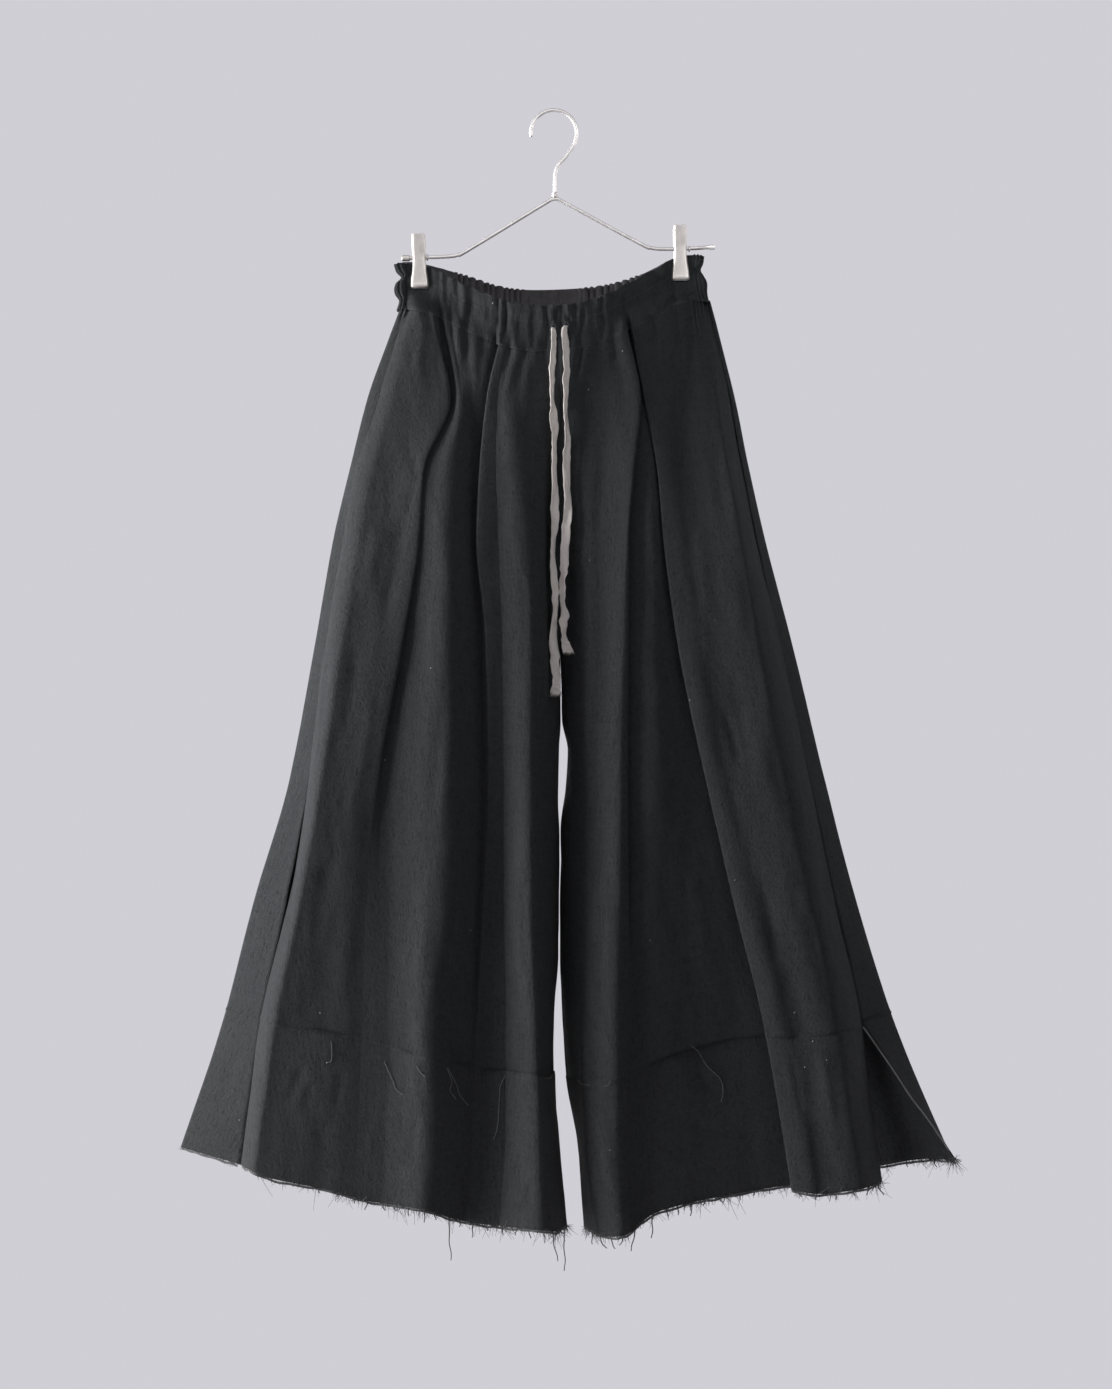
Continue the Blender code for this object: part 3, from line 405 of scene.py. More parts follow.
drawn, given, result = new_group(
    "drawn_metal", {"Fineness": 0.3, "Length": 12.0}, ("Lines", "Smudges"))
lengthwise = stretched(drawn, given["Place"], each(drawn, given["Fineness"]),
                       each(drawn, given["Length"]))
fill(drawn, result, {"Lines": noise(drawn, lengthwise, 1.0),
                     "Smudges": noise(drawn, given["Place"], SMUDGE_SCALE, 3.0, 0.6)})
print("node groups:", [tree.name for tree in bpy.data.node_groups])

# %% [markdown]
# ## Starting a material
# Each material starts from the same shader, with its constants set on the shader's own sockets, and
# takes its pattern's place from the UV map, which is in metres. Groups and colour mixes join it.

# %% Material helpers
def principled(name, roughness, metallic=0.0, sheen=0.0, specular=0.5):
    """A material with its constants set on the shader's own sockets, and the cloth's UV place."""
    material = bpy.data.materials.new(name)
    material.use_nodes = True
    tree = material.node_tree
    shader = tree.nodes["Principled BSDF"]
    for label, value in {"Roughness": roughness, "Metallic": metallic, "Sheen Weight": sheen,
                         "Sheen Roughness": 0.6, "Specular IOR Level": specular}.items():
        shader.inputs[label].default_value = value
    return material, tree, shader, node(tree, "ShaderNodeUVMap", uv_map="cloth").outputs[0]


def use(tree, group, place, **values):
    """Places a node group with its own values, by the names of its inputs."""
    made = node(tree, "ShaderNodeGroup", node_tree=group)
    tree.links.new(place, made.inputs["Place"])
    for name, value in values.items():
        made.inputs[name].default_value = value
    return made.outputs


def blend(tree, factor, first, second):
    """Mixes two colours by a factor."""
    made = node(tree, "ShaderNodeMix", data_type="RGBA")
    tree.links.new(factor, made.inputs[0])
    for socket, value in ((made.inputs[6], first), (made.inputs[7], second)):
        if isinstance(value, bpy.types.NodeSocket):
            tree.links.new(value, socket)
        else:
            socket.default_value = (*value, 1.0)
    return made.outputs[2]


print("material helpers ready")

# %% [markdown]
# ## The cloth and the tape
# Charcoal linen is dull: almost no mirror shine, and a faint sheen where its loose fibres catch
# light at the edge of a fold. Two bumps stand on each other, the washed crinkle below and the
# yarns on top. The colour drifts a little along the yarns, and the tops of the crinkles are paler.
# The inside of the waistband has the purplish colour of the cloth's wrong side, painted paler as
# painted light for the room light that reaches inside the band. The tape is undyed cotton.

# %% Cloth materials
STREAK_RANGE = (0.4, 0.62)
CRINKLE_TOP_RANGE = (0.35, 1.0)
CRINKLE_TOP_MOST = 0.45
LINT_PALER = 6.0
LINT_PALEST = 0.7
ROUGH_DRIFT = 0.06
CLOTH_SHINE = 0.08

# Colours are linear. Gauge, wide, long, the depths and the lint's spacing are in millimetres.
Cloth = collections.namedtuple(
    "Cloth", "name dark pale gauge wander wide long crinkle_deep yarn_deep rough sheen lint")
CLOTHS = rows_of(
    Cloth,
    ("charcoal_linen", (0.019, 0.0205, 0.0225), (0.054, 0.057, 0.061),
     1.2, 1.4, 4.0, 10.0, 1.35, 0.6, 0.9, 0.04, 16.0),
    ("charcoal_band", (0.020, 0.021, 0.0225), (0.058, 0.060, 0.063),
     1.2, 1.5, 4.0, 10.0, 1.4, 0.62, 0.9, 0.04, 13.0),
    # The lining row: the purplish wrong side of the cloth, painted paler as painted light for the
    # room light inside the band.
    ("lining_with_painted_light", (0.062, 0.058, 0.063), (0.15, 0.142, 0.152),
     1.1, 1.4, 4.6, 12.0, 0.75, 0.34, 0.92, 0.04, 18.0),
    ("undyed_tape", (0.58, 0.53, 0.50), (0.85, 0.80, 0.77),
     0.5, 0.9, 3.2, 9.0, 0.35, 0.12, 0.85, 0.2, 30.0),
)


def cloth_material(cloth):
    """One woven finish from its row."""
    material, tree, shader, place = principled(cloth.name, cloth.rough, 0.0, cloth.sheen,
                                               CLOTH_SHINE)
    yarn = use(tree, weave, place, Gauge=cloth.gauge, Wander=cloth.wander)
    wrinkle = use(tree, crinkle, place, Wide=cloth.wide, Long=cloth.long)
    specks = use(tree, lint, place, Spacing=cloth.lint)["Specks"]
    tone = spread(tree, yarn["Streaks"], *STREAK_RANGE)
    # The tops of the crinkles are made paler, in step with the crinkle bump.
    crinkle_tops = spread(tree, wrinkle["Height"], *CRINKLE_TOP_RANGE, 0.0, CRINKLE_TOP_MOST)
    middle = tuple((a + b) / 2 for a, b in zip(cloth.dark, cloth.pale))
    crinkle_toned = blend(tree, crinkle_tops, blend(tree, tone, cloth.dark, middle), cloth.pale)
    fleck = tuple(min(LINT_PALER * part, LINT_PALEST) for part in cloth.pale)
    under = bump(tree, wrinkle["Height"], cloth.crinkle_deep)
    fill(tree, shader.inputs, {
        "Base Color": blend(tree, specks, crinkle_toned, fleck),
        "Roughness": spread(tree, yarn["Streaks"], 0.3, 0.7, cloth.rough - ROUGH_DRIFT,
                            cloth.rough + ROUGH_DRIFT),
        "Normal": bump(tree, yarn["Height"], cloth.yarn_deep, Normal=under)})
    return material


charcoal_linen, charcoal_band, lining_with_painted_light, undyed_tape = map(cloth_material, CLOTHS)
print("cloth materials:", [cloth.name for cloth in CLOTHS])

# %% [markdown]
# ## Thread and metal
# Loose yarn and sewing thread are twisted fibres, paler along some stretches, so they use the weave
# group at a finer gauge. The hanger is satin metal: rough enough to blur what it mirrors, with the
# fine lines turning its shine a little.

# %% Thread and metal materials
THREAD_GAUGE = 0.35
THREAD_DEEP = 0.05
METAL_DEEP = 0.03
TONE_RANGE = (0.35, 0.65)


def thread_material(name, dark, pale):
    """Twisted yarn or thread."""
    material, tree, shader, place = principled(name, 0.8, 0.0, 0.3, 0.3)
    yarn = use(tree, weave, place, Gauge=THREAD_GAUGE, Wander=1.2)
    tone = spread(tree, yarn["Streaks"], *TONE_RANGE)
    fill(tree, shader.inputs, {"Base Color": blend(tree, tone, dark, pale),
                               "Normal": bump(tree, yarn["Height"], THREAD_DEEP)})
    return material


def metal_material(name, dark, pale, low_rough, high_rough):
    """Satin metal with fine lines along it and faint smudges."""
    material, tree, shader, place = principled(name, low_rough, 1.0)
    marks = use(tree, drawn, place)
    tone = average(tree, marks["Lines"], marks["Smudges"])
    fill(tree, shader.inputs, {
        "Base Color": blend(tree, spread(tree, tone, *TONE_RANGE), dark, pale),
        "Roughness": spread(tree, tone, *TONE_RANGE, low_rough, high_rough),
        "Normal": bump(tree, marks["Lines"], METAL_DEEP)})
    return material


raw_yarn = thread_material("raw_yarn", (0.028, 0.029, 0.031), (0.10, 0.10, 0.105))
pulled_yarn = thread_material("pulled_yarn", (0.05, 0.05, 0.052), (0.13, 0.13, 0.13))
# The slit's rolled edge: a little pale from wear, and painted paler still as painted light for the
# light from behind.
rubbed_edge = thread_material("rubbed_edge", (0.12, 0.12, 0.122), (0.24, 0.24, 0.245))
sewing_thread = thread_material("sewing_thread", (0.016, 0.017, 0.019), (0.04, 0.042, 0.045))
pale_lint = thread_material("pale_lint", (0.45, 0.45, 0.45), (0.8, 0.8, 0.8))
tape_fibre = thread_material("tape_fibre", (0.42, 0.37, 0.33), (0.68, 0.63, 0.58))
satin_wire = metal_material("satin_wire", (0.52, 0.50, 0.48), (0.72, 0.70, 0.68), 0.28, 0.42)
satin_clip = metal_material("satin_clip", (0.48, 0.455, 0.425), (0.62, 0.595, 0.56), 0.38, 0.55)
print("materials:", len(bpy.data.materials))

# %% [markdown]
# ## The drawstring ends
# Two ends of soft cotton tape come out of buttonholes at the front and hang free. They come first
# among the pieces. Each is a flat ribbon, a little cupped across, that follows the same route as
# its solid and turns about that route. Where it turns edge-on it looks narrow, and its raw end
# opens and curls.

# %% Drawstring tables
TAPE_WIDE = 8.0
TAPE_THICK = 0.8
TAPE_STEPS = 220
TAPE_COLUMNS = 9

# Each point's place in the drawing, the tape's turn about its route in degrees, and its width.
TapePoint = collections.namedtuple("TapePoint", "across down depth turn wide")
TAPE_RIGHT = rows_of(
    TapePoint,
    (554, 327.5, -36.5, 60, 5), (554, 332, -41, 50, 7), (552.7, 345, -42, 55, 8),
    (552.8, 362, -42, 45, 8), (553, 380, -42, 58, 8), (553, 402, -42, 64, 8),
    (553.5, 420, -42, 15, 8.4), (554, 438, -42, 56, 8), (555, 456, -42, 58, 8),
    (555, 486, -42, 50, 8), (554.5, 508, -42, 15, 8.4), (554, 526, -42, 30, 8),
    (554, 545, -42, 64, 7.6), (554.3, 570, -42, 40, 8), (554.4, 592, -42, 35, 8),
    (554.4, 614, -42, 56, 8), (553.6, 638, -42, 30, 9), (554.8, 656, -42, 0, 9),
    (556.3, 672, -42, -10, 8.6), (556.2, 684, -42, 15, 8), (554.8, 694, -42, -15, 12),
)
TAPE_LEFT = rows_of(
    TapePoint,
    (566, 325.5, -36.5, 50, 5), (565, 331, -41, 40, 7), (565.8, 344, -42, 30, 8),
    (565.5, 362, -42, 45, 8), (566.2, 378, -42, 40, 8), (566.9, 398, -42, 62, 8),
    (566.6, 418, -42, 66, 8), (566.4, 438, -42, 52, 8), (566.2, 458, -42, 25, 8),
    (567.2, 478, -42, 30, 8), (568.5, 496, -42, 42, 8), (567.9, 512, -42, 10, 8.4),
    (566.2, 528, -42, -5, 8.8), (565.2, 548, -42, 5, 8.4), (564, 564, -42, -10, 8.4),
    (563, 578, -42, -50, 8), (562.9, 591, -42, -40, 8), (562.8, 604, -42, -60, 8),
    (564.2, 618, -42, -5, 9), (563.6, 633, -42, 55, 7), (565.2, 644, -42, 20, 9),
    (568, 652, -42, 0, 11),
)

# How far the tape wanders off its route, how deep it is cupped, and how much it crumples. Sways
# and crumples are counted in patches. The cupping swings over an angle in radians, end to end.
TAPE_SWAY, SWAYS = 0.9, 60
TAPE_CURL, CURLS = 1.3, 31
TAPE_CRUMPLE, CRUMPLES_DOWN, CRUMPLES_ACROSS = 0.5, 90, 2
SWAY_FROM, SWAY_FULL = 0.05, 0.15
RAW_FROM = 0.915
print("tape points:", len(TAPE_RIGHT), len(TAPE_LEFT))

# %% [markdown]
# ## From a route to a ribbon
# At each step the ribbon is a closed loop of points, one row for its front and one for its back.
# Sway, curl and crumple are added across the loop before it is turned about the route, so that the
# tape looks handled and not extruded.

# %% Drawstring tapes
def ribbon(path, turn, wide, seed):
    """The two faces of a ribbon that turns about its path, as a loop of points at each step."""
    down = np.linspace(0, 1, TAPE_STEPS)[:, None]
    side = np.linspace(-1, 1, TAPE_COLUMNS)
    sway = patches(down * SWAYS, down * 0, 1.0, 1.0, seed) * TAPE_SWAY
    across = side * (wide / 2) + sway * ease(SWAY_FROM, SWAY_FULL, down)
    curl = TAPE_CURL * side**2 * np.cos(down * CURLS + seed)
    crumple = TAPE_CRUMPLE * patches(down * CRUMPLES_DOWN + side * 0,
                                     side * CRUMPLES_ACROSS + down * 0, 1.0, 1.0, seed + 1)
    crumple = crumple * (1 + 2 * ease(RAW_FROM, 1, down))
    halves = []
    for order, lift in ((slice(None), TAPE_THICK / 2), (slice(None, None, -1), -TAPE_THICK / 2)):
        out = (curl + crumple)[:, order] + lift
        x = across[:, order] * np.cos(turn) + out * np.sin(turn)
        y = across[:, order] * np.sin(turn) - out * np.cos(turn)
        halves.append(path[:, None] + np.stack([x, y, np.zeros_like(x)], -1) * MM)
    return np.concatenate(halves, 1)


def ribbon_faces(around):
    """Faces round a ribbon at every step, and a row of faces that closes each end."""
    index = np.arange(TAPE_STEPS)[:, None] * around + np.arange(around + 1) % around
    last = (TAPE_STEPS - 1) * around
    ends = (list(range(around)), list(range(last, last + around))[::-1])
    caps = [[end[k], end[k + 1], end[around - 2 - k], end[around - 1 - k]]
            for end in ends for k in range(TAPE_COLUMNS - 1)]
    return np.concatenate([index.ravel()[grid_faces(TAPE_STEPS, around + 1)], caps])


def make_tape(name, rows, node_name, seed):
    """One end of the drawstring, as a ribbon that hangs along its route."""
    route = smooth_route(rows, TAPE_STEPS)
    path = to_world(route[:, :3])
    loop = ribbon(path, np.radians(route[:, 3:4]), route[:, 4:5], seed)
    along = walked(path)
    side = np.linspace(-1, 1, TAPE_COLUMNS) * TAPE_WIDE / 2 * MM
    places = np.stack(np.broadcast_arrays(np.concatenate([side, side[::-1]]), along[:, None]), -1)
    piece = make_piece(name, loop, ribbon_faces(loop.shape[1]), places.reshape(-1, 2), undyed_tape,
                       "tape_cream", (node_name,))
    print(name, "length m:", round(along[-1], 3))
    return loop


loop_right = make_tape("tape_right", TAPE_RIGHT, "drawstring_right", 3)
loop_left = make_tape("tape_left", TAPE_LEFT, "drawstring_left", 8)

# %% [markdown]
# ## Raw ends of the tapes
# A cut tape frays: its lengthwise yarns come out of the last few millimetres and spread. They are
# short bent fibres along the cut edge, each one a thin tube.

# %% Tape fringes
TAPE_FIBRES = 60
TAPE_FIBRE_LONG = (0.8, 2.8)
TAPE_FIBRE_RADII = (0.16, 0.07)
TAPE_FIBRE_STEPS = 5
TAPE_FIBRE_SPREAD, TAPE_FIBRE_BEND = 0.35, 0.5


def fringe_lines(roots, ways, lengths, bends, steps):
    """Bent lines that leave their roots in one direction and bow to one side."""
    along = np.linspace(0, 1, steps)[None, :, None]
    return (roots[:, None] + ways[:, None] * along * lengths[:, None, None]
            + bends[:, None] * along**2 * lengths[:, None, None])


def fray_tape(name, loop, seed):
    """Fibres along the last row of a tape."""
    rng = np.random.default_rng(seed)
    edge = loop[-1, :TAPE_COLUMNS]
    at = rng.uniform(0, TAPE_COLUMNS - 1.001, TAPE_FIBRES)
    low = at.astype(int)
    roots = edge[low] * (1 - at + low)[:, None] + edge[low + 1] * (at - low)[:, None]
    ahead = (loop[-1] - loop[-6]).mean(0)
    spread_out = rng.uniform(-TAPE_FIBRE_SPREAD, TAPE_FIBRE_SPREAD, (TAPE_FIBRES, 3))
    ways = ahead / np.linalg.norm(ahead) + spread_out
    bends = rng.uniform(-TAPE_FIBRE_BEND, TAPE_FIBRE_BEND, (TAPE_FIBRES, 3))
    lengths = rng.uniform(*TAPE_FIBRE_LONG, TAPE_FIBRES) * MM
    lines = fringe_lines(roots, ways, lengths, bends, TAPE_FIBRE_STEPS)
    make_tubes(name, lines, np.linspace(*TAPE_FIBRE_RADII, TAPE_FIBRE_STEPS) * MM, 4,
               (0.2, 1.0, 0.1), tape_fibre, "tape_cream")


fray_tape("tape_fringe_right", loop_right, 21)
fray_tape("tape_fringe_left", loop_left, 22)
print("tape fibres:", 2 * TAPE_FIBRES)

# %% [markdown]
# ## Light
# The garment hangs in a pale room. One large, strong light stands far to the left and only a little
# in front, so that each fold has a bright flank towards it and a dark one away from it. Four weak
# ones in front open the shadows at the waist and the hem. One on the right and one behind serve the
# other sides. The pale room shows as a background, but lights the cloth only faintly.

# %% Lights
ROOM_TONE = (0.63, 0.62, 0.665)
ROOM_LIGHT = 0.03

bpy.context.scene.view_settings.view_transform = "Standard"
world = bpy.data.worlds.new("pale_room")
bpy.context.scene.world = world
world.use_nodes = True
sky = world.node_tree
seen = sky.nodes["Background"]
seen.inputs["Color"].default_value = (*ROOM_TONE, 1.0)
lit = node(sky, "ShaderNodeBackground", {"Color": (*ROOM_TONE, 1.0), "Strength": ROOM_LIGHT})
diffuse = node(sky, "ShaderNodeLightPath").outputs["Is Diffuse Ray"]
chosen = node(sky, "ShaderNodeMixShader", {0: diffuse, 1: seen.outputs[0], 2: lit.outputs[0]})
sky.links.new(chosen.outputs[0], sky.nodes["World Output"].inputs["Surface"])

# Where each light stands and aims, in metres, its width and height, and its power in watts.
Light = collections.namedtuple("Light", "name place aim wide high power")
LIGHTS = rows_of(
    Light,
    ("key_left", (-2.7, -0.31, -0.55), (0.0, 0.0, -0.65), 1.5, 2.2, 190.0),
    ("fill_front", (0.8, -3.0, -0.2), (0.0, 0.0, -0.7), 2.0, 2.2, 1.5),
    ("soft_top", (-0.25, -0.7, 0.4), (0.0, 0.0, -0.2), 0.9, 0.5, 2.0),
    ("top_right", (0.55, -0.6, 0.15), (0.08, 0.0, -0.28), 0.6, 0.4, 1.9),
    ("low_front", (0.1, -0.6, -1.6), (0.0, 0.0, -1.15), 1.0, 0.3, 0.8),
    ("side_right", (2.6, 0.75, -0.4), (0.0, 0.0, -0.6), 1.6, 2.2, 18.0),
    ("behind", (-1.6, 2.4, 0.2), (0.0, 0.0, -0.6), 2.0, 2.4, 60.0),
)


def make_light(row):
    """A soft rectangle of light, turned so that it faces its aim."""
    data = bpy.data.lights.new(row.name, "AREA")
    data.shape = "RECTANGLE"
    data.size, data.size_y, data.energy = row.wide, row.high, row.power
    lamp = bpy.data.objects.new(row.name, data)
    lamp.location = row.place
    x, y, z = np.array(row.aim) - np.array(row.place)
    lamp.rotation_euler = (math.atan2(math.hypot(x, y), -z), 0.0, math.atan2(-x, y))
    lamp.visible_camera = False
    bpy.context.scene.collection.objects.link(lamp)


for row in LIGHTS:
    make_light(row)
print("lights:", len(LIGHTS))

# %% [markdown]
# ## Floor
# A plain pale floor lies well below the hem. It is part of the stage and not of the garment.

# %% Floor
FLOOR_Z = -2.0
FLOOR_HALF = 2.4

floor_data = bpy.data.meshes.new("floor")
floor_data.from_pydata([(x * FLOOR_HALF, y * FLOOR_HALF, FLOOR_Z)
                        for x, y in ((-1, -1), (1, -1), (1, 1), (-1, 1))], [], [(0, 1, 2, 3)])
floor_paint = bpy.data.materials.new("floor_paint")
floor_paint.use_nodes = True
floor_paint.node_tree.nodes["Principled BSDF"].inputs["Base Color"].default_value = (*ROOM_TONE, 1)
floor_data.materials.append(floor_paint)
floor = bpy.data.objects.new("floor", floor_data)
bpy.context.scene.collection.objects.link(floor)
print("floor at m:", FLOOR_Z)

# %% [markdown]
# ## How the pleats are drafted
# A pleated panel is drawn as lines that run down the cloth, one for each crest, valley or pleat
# edge, in the order that a finger would cross them. Each row of a table gives one line: where it
# is across the drawing at ten heights, how deep it stands at five, and how far down the band seam
# and the hem cross it. Where a pleat folds back on itself, the next line is to the left of the one
# before it, so the cloth lies in three layers, as it does on the real trousers.

# %% How folds are drawn
PLEAT_LAYER = 3.0
WAIST_SEAM_DOWN = 330.0
WAIST_FIT_PART = 1 / 3
WAIST_TUCK = 1.5

# Heights at which the tables give a fold's place across the drawing, and its depth.
ACROSS_DOWNS = (330, 400, 470, 540, 640, 780, 900, 1020, 1140, 1230)
DEPTH_DOWNS = (330, 540, 780, 1020, 1230)

# How a fold's line is doubled, in pleat layers: a pleat's edge lies over its own underlap.
FOLD_KINDS = {
    "soft": (0.0,),
    "crease": (0.0, 0.0),
    "over_right": (-1.2, -0.1),
    "under_right": (0.1, 1.2),
    "under_left": (1.2, 0.1),
    "over_left": (-0.1, -1.2),
    "turn_back": (-1.3, 1.3),
    "turn_front": (1.3, -1.3),
}

# Where a pleat falls open as it goes down, its doubling fades out from a height over this far.
NEVER_OPENS = 2000.0
OPENS_OVER = 160.0

Fold = collections.namedtuple(
    "Fold", "name kind seam hem across depth flare opens", defaults=(0.0, NEVER_OPENS))

print("kinds of fold:", len(FOLD_KINDS))

# %% [markdown]
# ## The right front
# The right front has a drape over the hip that falls open lower down, and one knife pleat near the
# middle. Between them run soft ridges and valleys, where the cloth hangs from its gathers.

# %% Right front folds
FRONT_RIGHT = (
    Fold("side_seam", "soft", 1019, 1165,
         (401, 379, 357, 344, 328, 309, 288, 262, 245, 232), (-7, -14, -20, -24, -28)),
    Fold("side_crest", "soft", 1023, 1169,
         (405, 386, 364, 351, 335, 316, 295, 269, 251, 239), (-14, -36, -48, -56, -62)),
    Fold("side_plane", "soft", 1030, 1178,
         (411, 402, 386, 372, 354, 330, 308, 286, 270, 258), (-17, -38, -47.5, -55.5, -61)),
    Fold("hip_hump", "soft", 1037, 1190,
         (420, 424, 406, 396, 379, 359, 348, 340, 334, 328), (-19, -43, -49.5, -56, -61)),
    Fold("drape_edge", "over_right", 1040, 1198,
         (436, 450, 424, 419, 403, 378, 366, 362, 358, 354), (-18, -45, -47, -55, -61),
         opens=700),
    Fold("drape_inner", "under_right", 1045, 1202,
         (439, 447, 402, 400, 395, 379, 379, 378, 375, 371), (-16, -41, -44.5, -55.5, -61.5),
         opens=700),
    Fold("drape_under", "soft", 1050, 1204,
         (443, 456, 431, 425, 411, 394, 396, 396, 392, 388), (-14, -44, -44, -56, -62)),
    Fold("hip_ridge", "soft", 1063, 1210,
         (450, 459, 450, 447, 448, 448, 446, 430, 430, 424), (-20, -56, -66, -77, -85)),
    Fold("mid_slope", "soft", 1067, 1219,
         (462, 470, 468, 468, 469, 471, 470, 458, 457, 453), (-22, -40, -44, -52, -60)),
    Fold("knife_under", "soft", 1069, 1221,
         (490, 480, 474, 473, 477, 480, 476, 470, 464, 462), (-25, -36, -38, -44, -53)),
    Fold("knife_inner", "under_left", 1070, 1222,
         (513, 499, 489, 481, 483, 485, 481, 475, 469, 467), (-26, -38, -40, -46, -55),
         opens=900),
    Fold("knife_edge", "over_left", 1072, 1223,
         (502, 487, 480, 477, 486, 488, 483, 477, 472, 470), (-30, -45, -43, -48, -57),
         opens=900),
    Fold("thigh_foot", "crease", 1074, 1226,
         (510, 498, 496, 498.5, 502, 503.5, 504, 506, 505, 499), (-31, -46, -44.5, -52, -61)),
    Fold("thigh_ridge", "soft", 1078, 1231,
         (522, 510, 518, 527, 531, 531, 531, 537, 541, 545), (-34, -59, -69, -82, -92)),
    Fold("centre_valley", "soft", 1080, 1232,
         (546, 542, 544, 546, 549, 549, 549, 548, 552, 558), (-33, -42, -42, -52, -60)),
)

print("folds of the right front:", len(FRONT_RIGHT))

# %% [markdown]
# ## The left front
# The left front has a box pleat: two pleats face each other over a flat underlay that widens down
# to the hem. Beyond it a broad flap, with soft ridges, runs to the side seam.

# %% Left front folds
FRONT_LEFT = (
    Fold("centre_valley", "soft", 1079, 1231,
         (580, 573, 573, 576, 580, 580, 574, 577, 586, 594), (-32, -36, -36, -42, -50)),
    Fold("thigh_roll", "soft", 1080, 1233,
         (590, 589, 589, 590, 592, 590, 583, 580, 584, 596), (-32, -44, -46, -54, -62)),
    Fold("thigh_dip", "soft", 1080, 1236,
         (600, 602, 602, 602, 602, 600, 595, 588, 589, 601), (-31, -44, -50, -60, -69)),
    Fold("thigh_ridge", "soft", 1081, 1237,
         (614, 629, 627, 625, 621, 617, 618, 617, 617, 623), (-32, -56, -63, -74, -83)),
    Fold("box_left_edge", "over_right", 1081, 1231,
         (627, 640, 634, 629, 628.5, 628, 628, 628, 628, 632), (-30, -52, -55, -62, -70),
         opens=840),
    Fold("box_left_inner", "under_right", 1076, 1223,
         (608, 614, 608, 605, 608, 617, 627, 634, 637, 641), (-21, -42, -51, -60, -68),
         opens=840),
    Fold("underlay_ridge", "soft", 1060, 1210,
         (630, 640, 645, 648, 652, 650, 649, 652, 655, 658), (-20, -52, -57, -61, -69)),
    Fold("underlay_middle", "soft", 1040, 1194,
         (637, 649, 658, 662, 672, 684, 700, 714, 726, 734), (-18, -41, -45, -46, -54)),
    Fold("box_right_under", "soft", 1034, 1184,
         (640, 655, 663, 669, 683, 709, 737, 766, 787, 801), (-19, -38, -42, -41, -48)),
    Fold("box_right_inner", "under_left", 1036, 1186,
         (656, 672, 685, 690, 704, 733, 759, 787, 807, 820), (-17, -40, -42, -47, -54)),
    Fold("box_right_edge", "over_left", 1037, 1190,
         (631, 645, 658, 664, 677.5, 706.5, 734, 763, 784, 798), (-26, -47, -50.5, -56, -64)),
    Fold("flap_ridge", "soft", 1037, 1194,
         (650, 664, 672, 680, 692, 719, 747, 780, 804, 816), (-24, -51, -57, -66, -74)),
    Fold("flap_valley", "soft", 1037, 1194,
         (682, 682, 686, 693, 708, 733, 766, 796, 817, 829), (-14, -48, -55, -62, -71)),
    Fold("flap_outer", "soft", 1036, 1191,
         (700, 712, 724, 736, 746, 766, 794, 820, 842, 857), (-12, -54.5, -61.5, -69, -77)),
    Fold("side_slope", "soft", 1031, 1187,
         (708, 722, 733, 747, 768, 796, 821, 847, 864, 878), (-8, -52, -60, -67, -73)),
    Fold("side_seam", "soft", 1027, 1181,
         (714, 730, 742, 756, 778, 809, 835, 861, 875, 890), (-3, -10, -16, -22, -26)),
)

print("folds of the left front:", len(FRONT_LEFT))

# %% [markdown]
# ## The back folds
# Each back leg starts at the same side seam as its front, turns the corner there and carries one
# knife pleat. Its ridges lie in other places than those of the front, and the two sides aren't
# mirror images, because no real pair of trousers hangs evenly.

# %% Back folds
BACK_RIGHT = (
    FRONT_RIGHT[0],
    Fold("side_turn", "turn_back", 1010, 1147,
         (392.5, 367.5, 350, 333.5, 316, 289.5, 254.5, 223.5, 183.5, 152), (0, 4, 6, 8, 10)),
    Fold("outer_ridge", "soft", 1012, 1150,
         (402, 385, 372, 362, 352, 338, 312, 288, 258, 232), (8, 34, 50, 62, 72)),
    Fold("outer_valley", "soft", 1018, 1160,
         (408, 402, 396, 392, 388, 378, 360, 342, 320, 300), (10, 32, 40, 46, 52)),
    Fold("seat_ridge", "soft", 1022, 1168,
         (424, 428, 428, 426, 424, 418, 406, 394, 380, 366), (14, 48, 62, 76, 88)),
    Fold("knife_edge", "over_right", 1036, 1184,
         (452, 456, 458, 458, 456, 453, 446, 438, 428, 420), (18, 46, 54, 62, 70)),
    Fold("knife_inner", "under_right", 1038, 1187,
         (434, 436, 438, 442, 446, 454, 458, 452, 442, 434), (12, 40, 50, 58, 66)),
    Fold("knife_under", "soft", 1044, 1193,
         (456, 460, 463, 466, 468, 472, 472, 466, 458, 452), (14, 38, 44, 50, 56)),
    Fold("thigh_ridge", "soft", 1050, 1198,
         (486, 492, 496, 500, 502, 504, 502, 498, 494, 492), (24, 50, 66, 80, 92)),
    Fold("centre_valley", "soft", 1064, 1213,
         (530, 532, 532, 532, 534, 536, 536, 532, 532, 538), (29, 38, 34, 40, 48)),
)

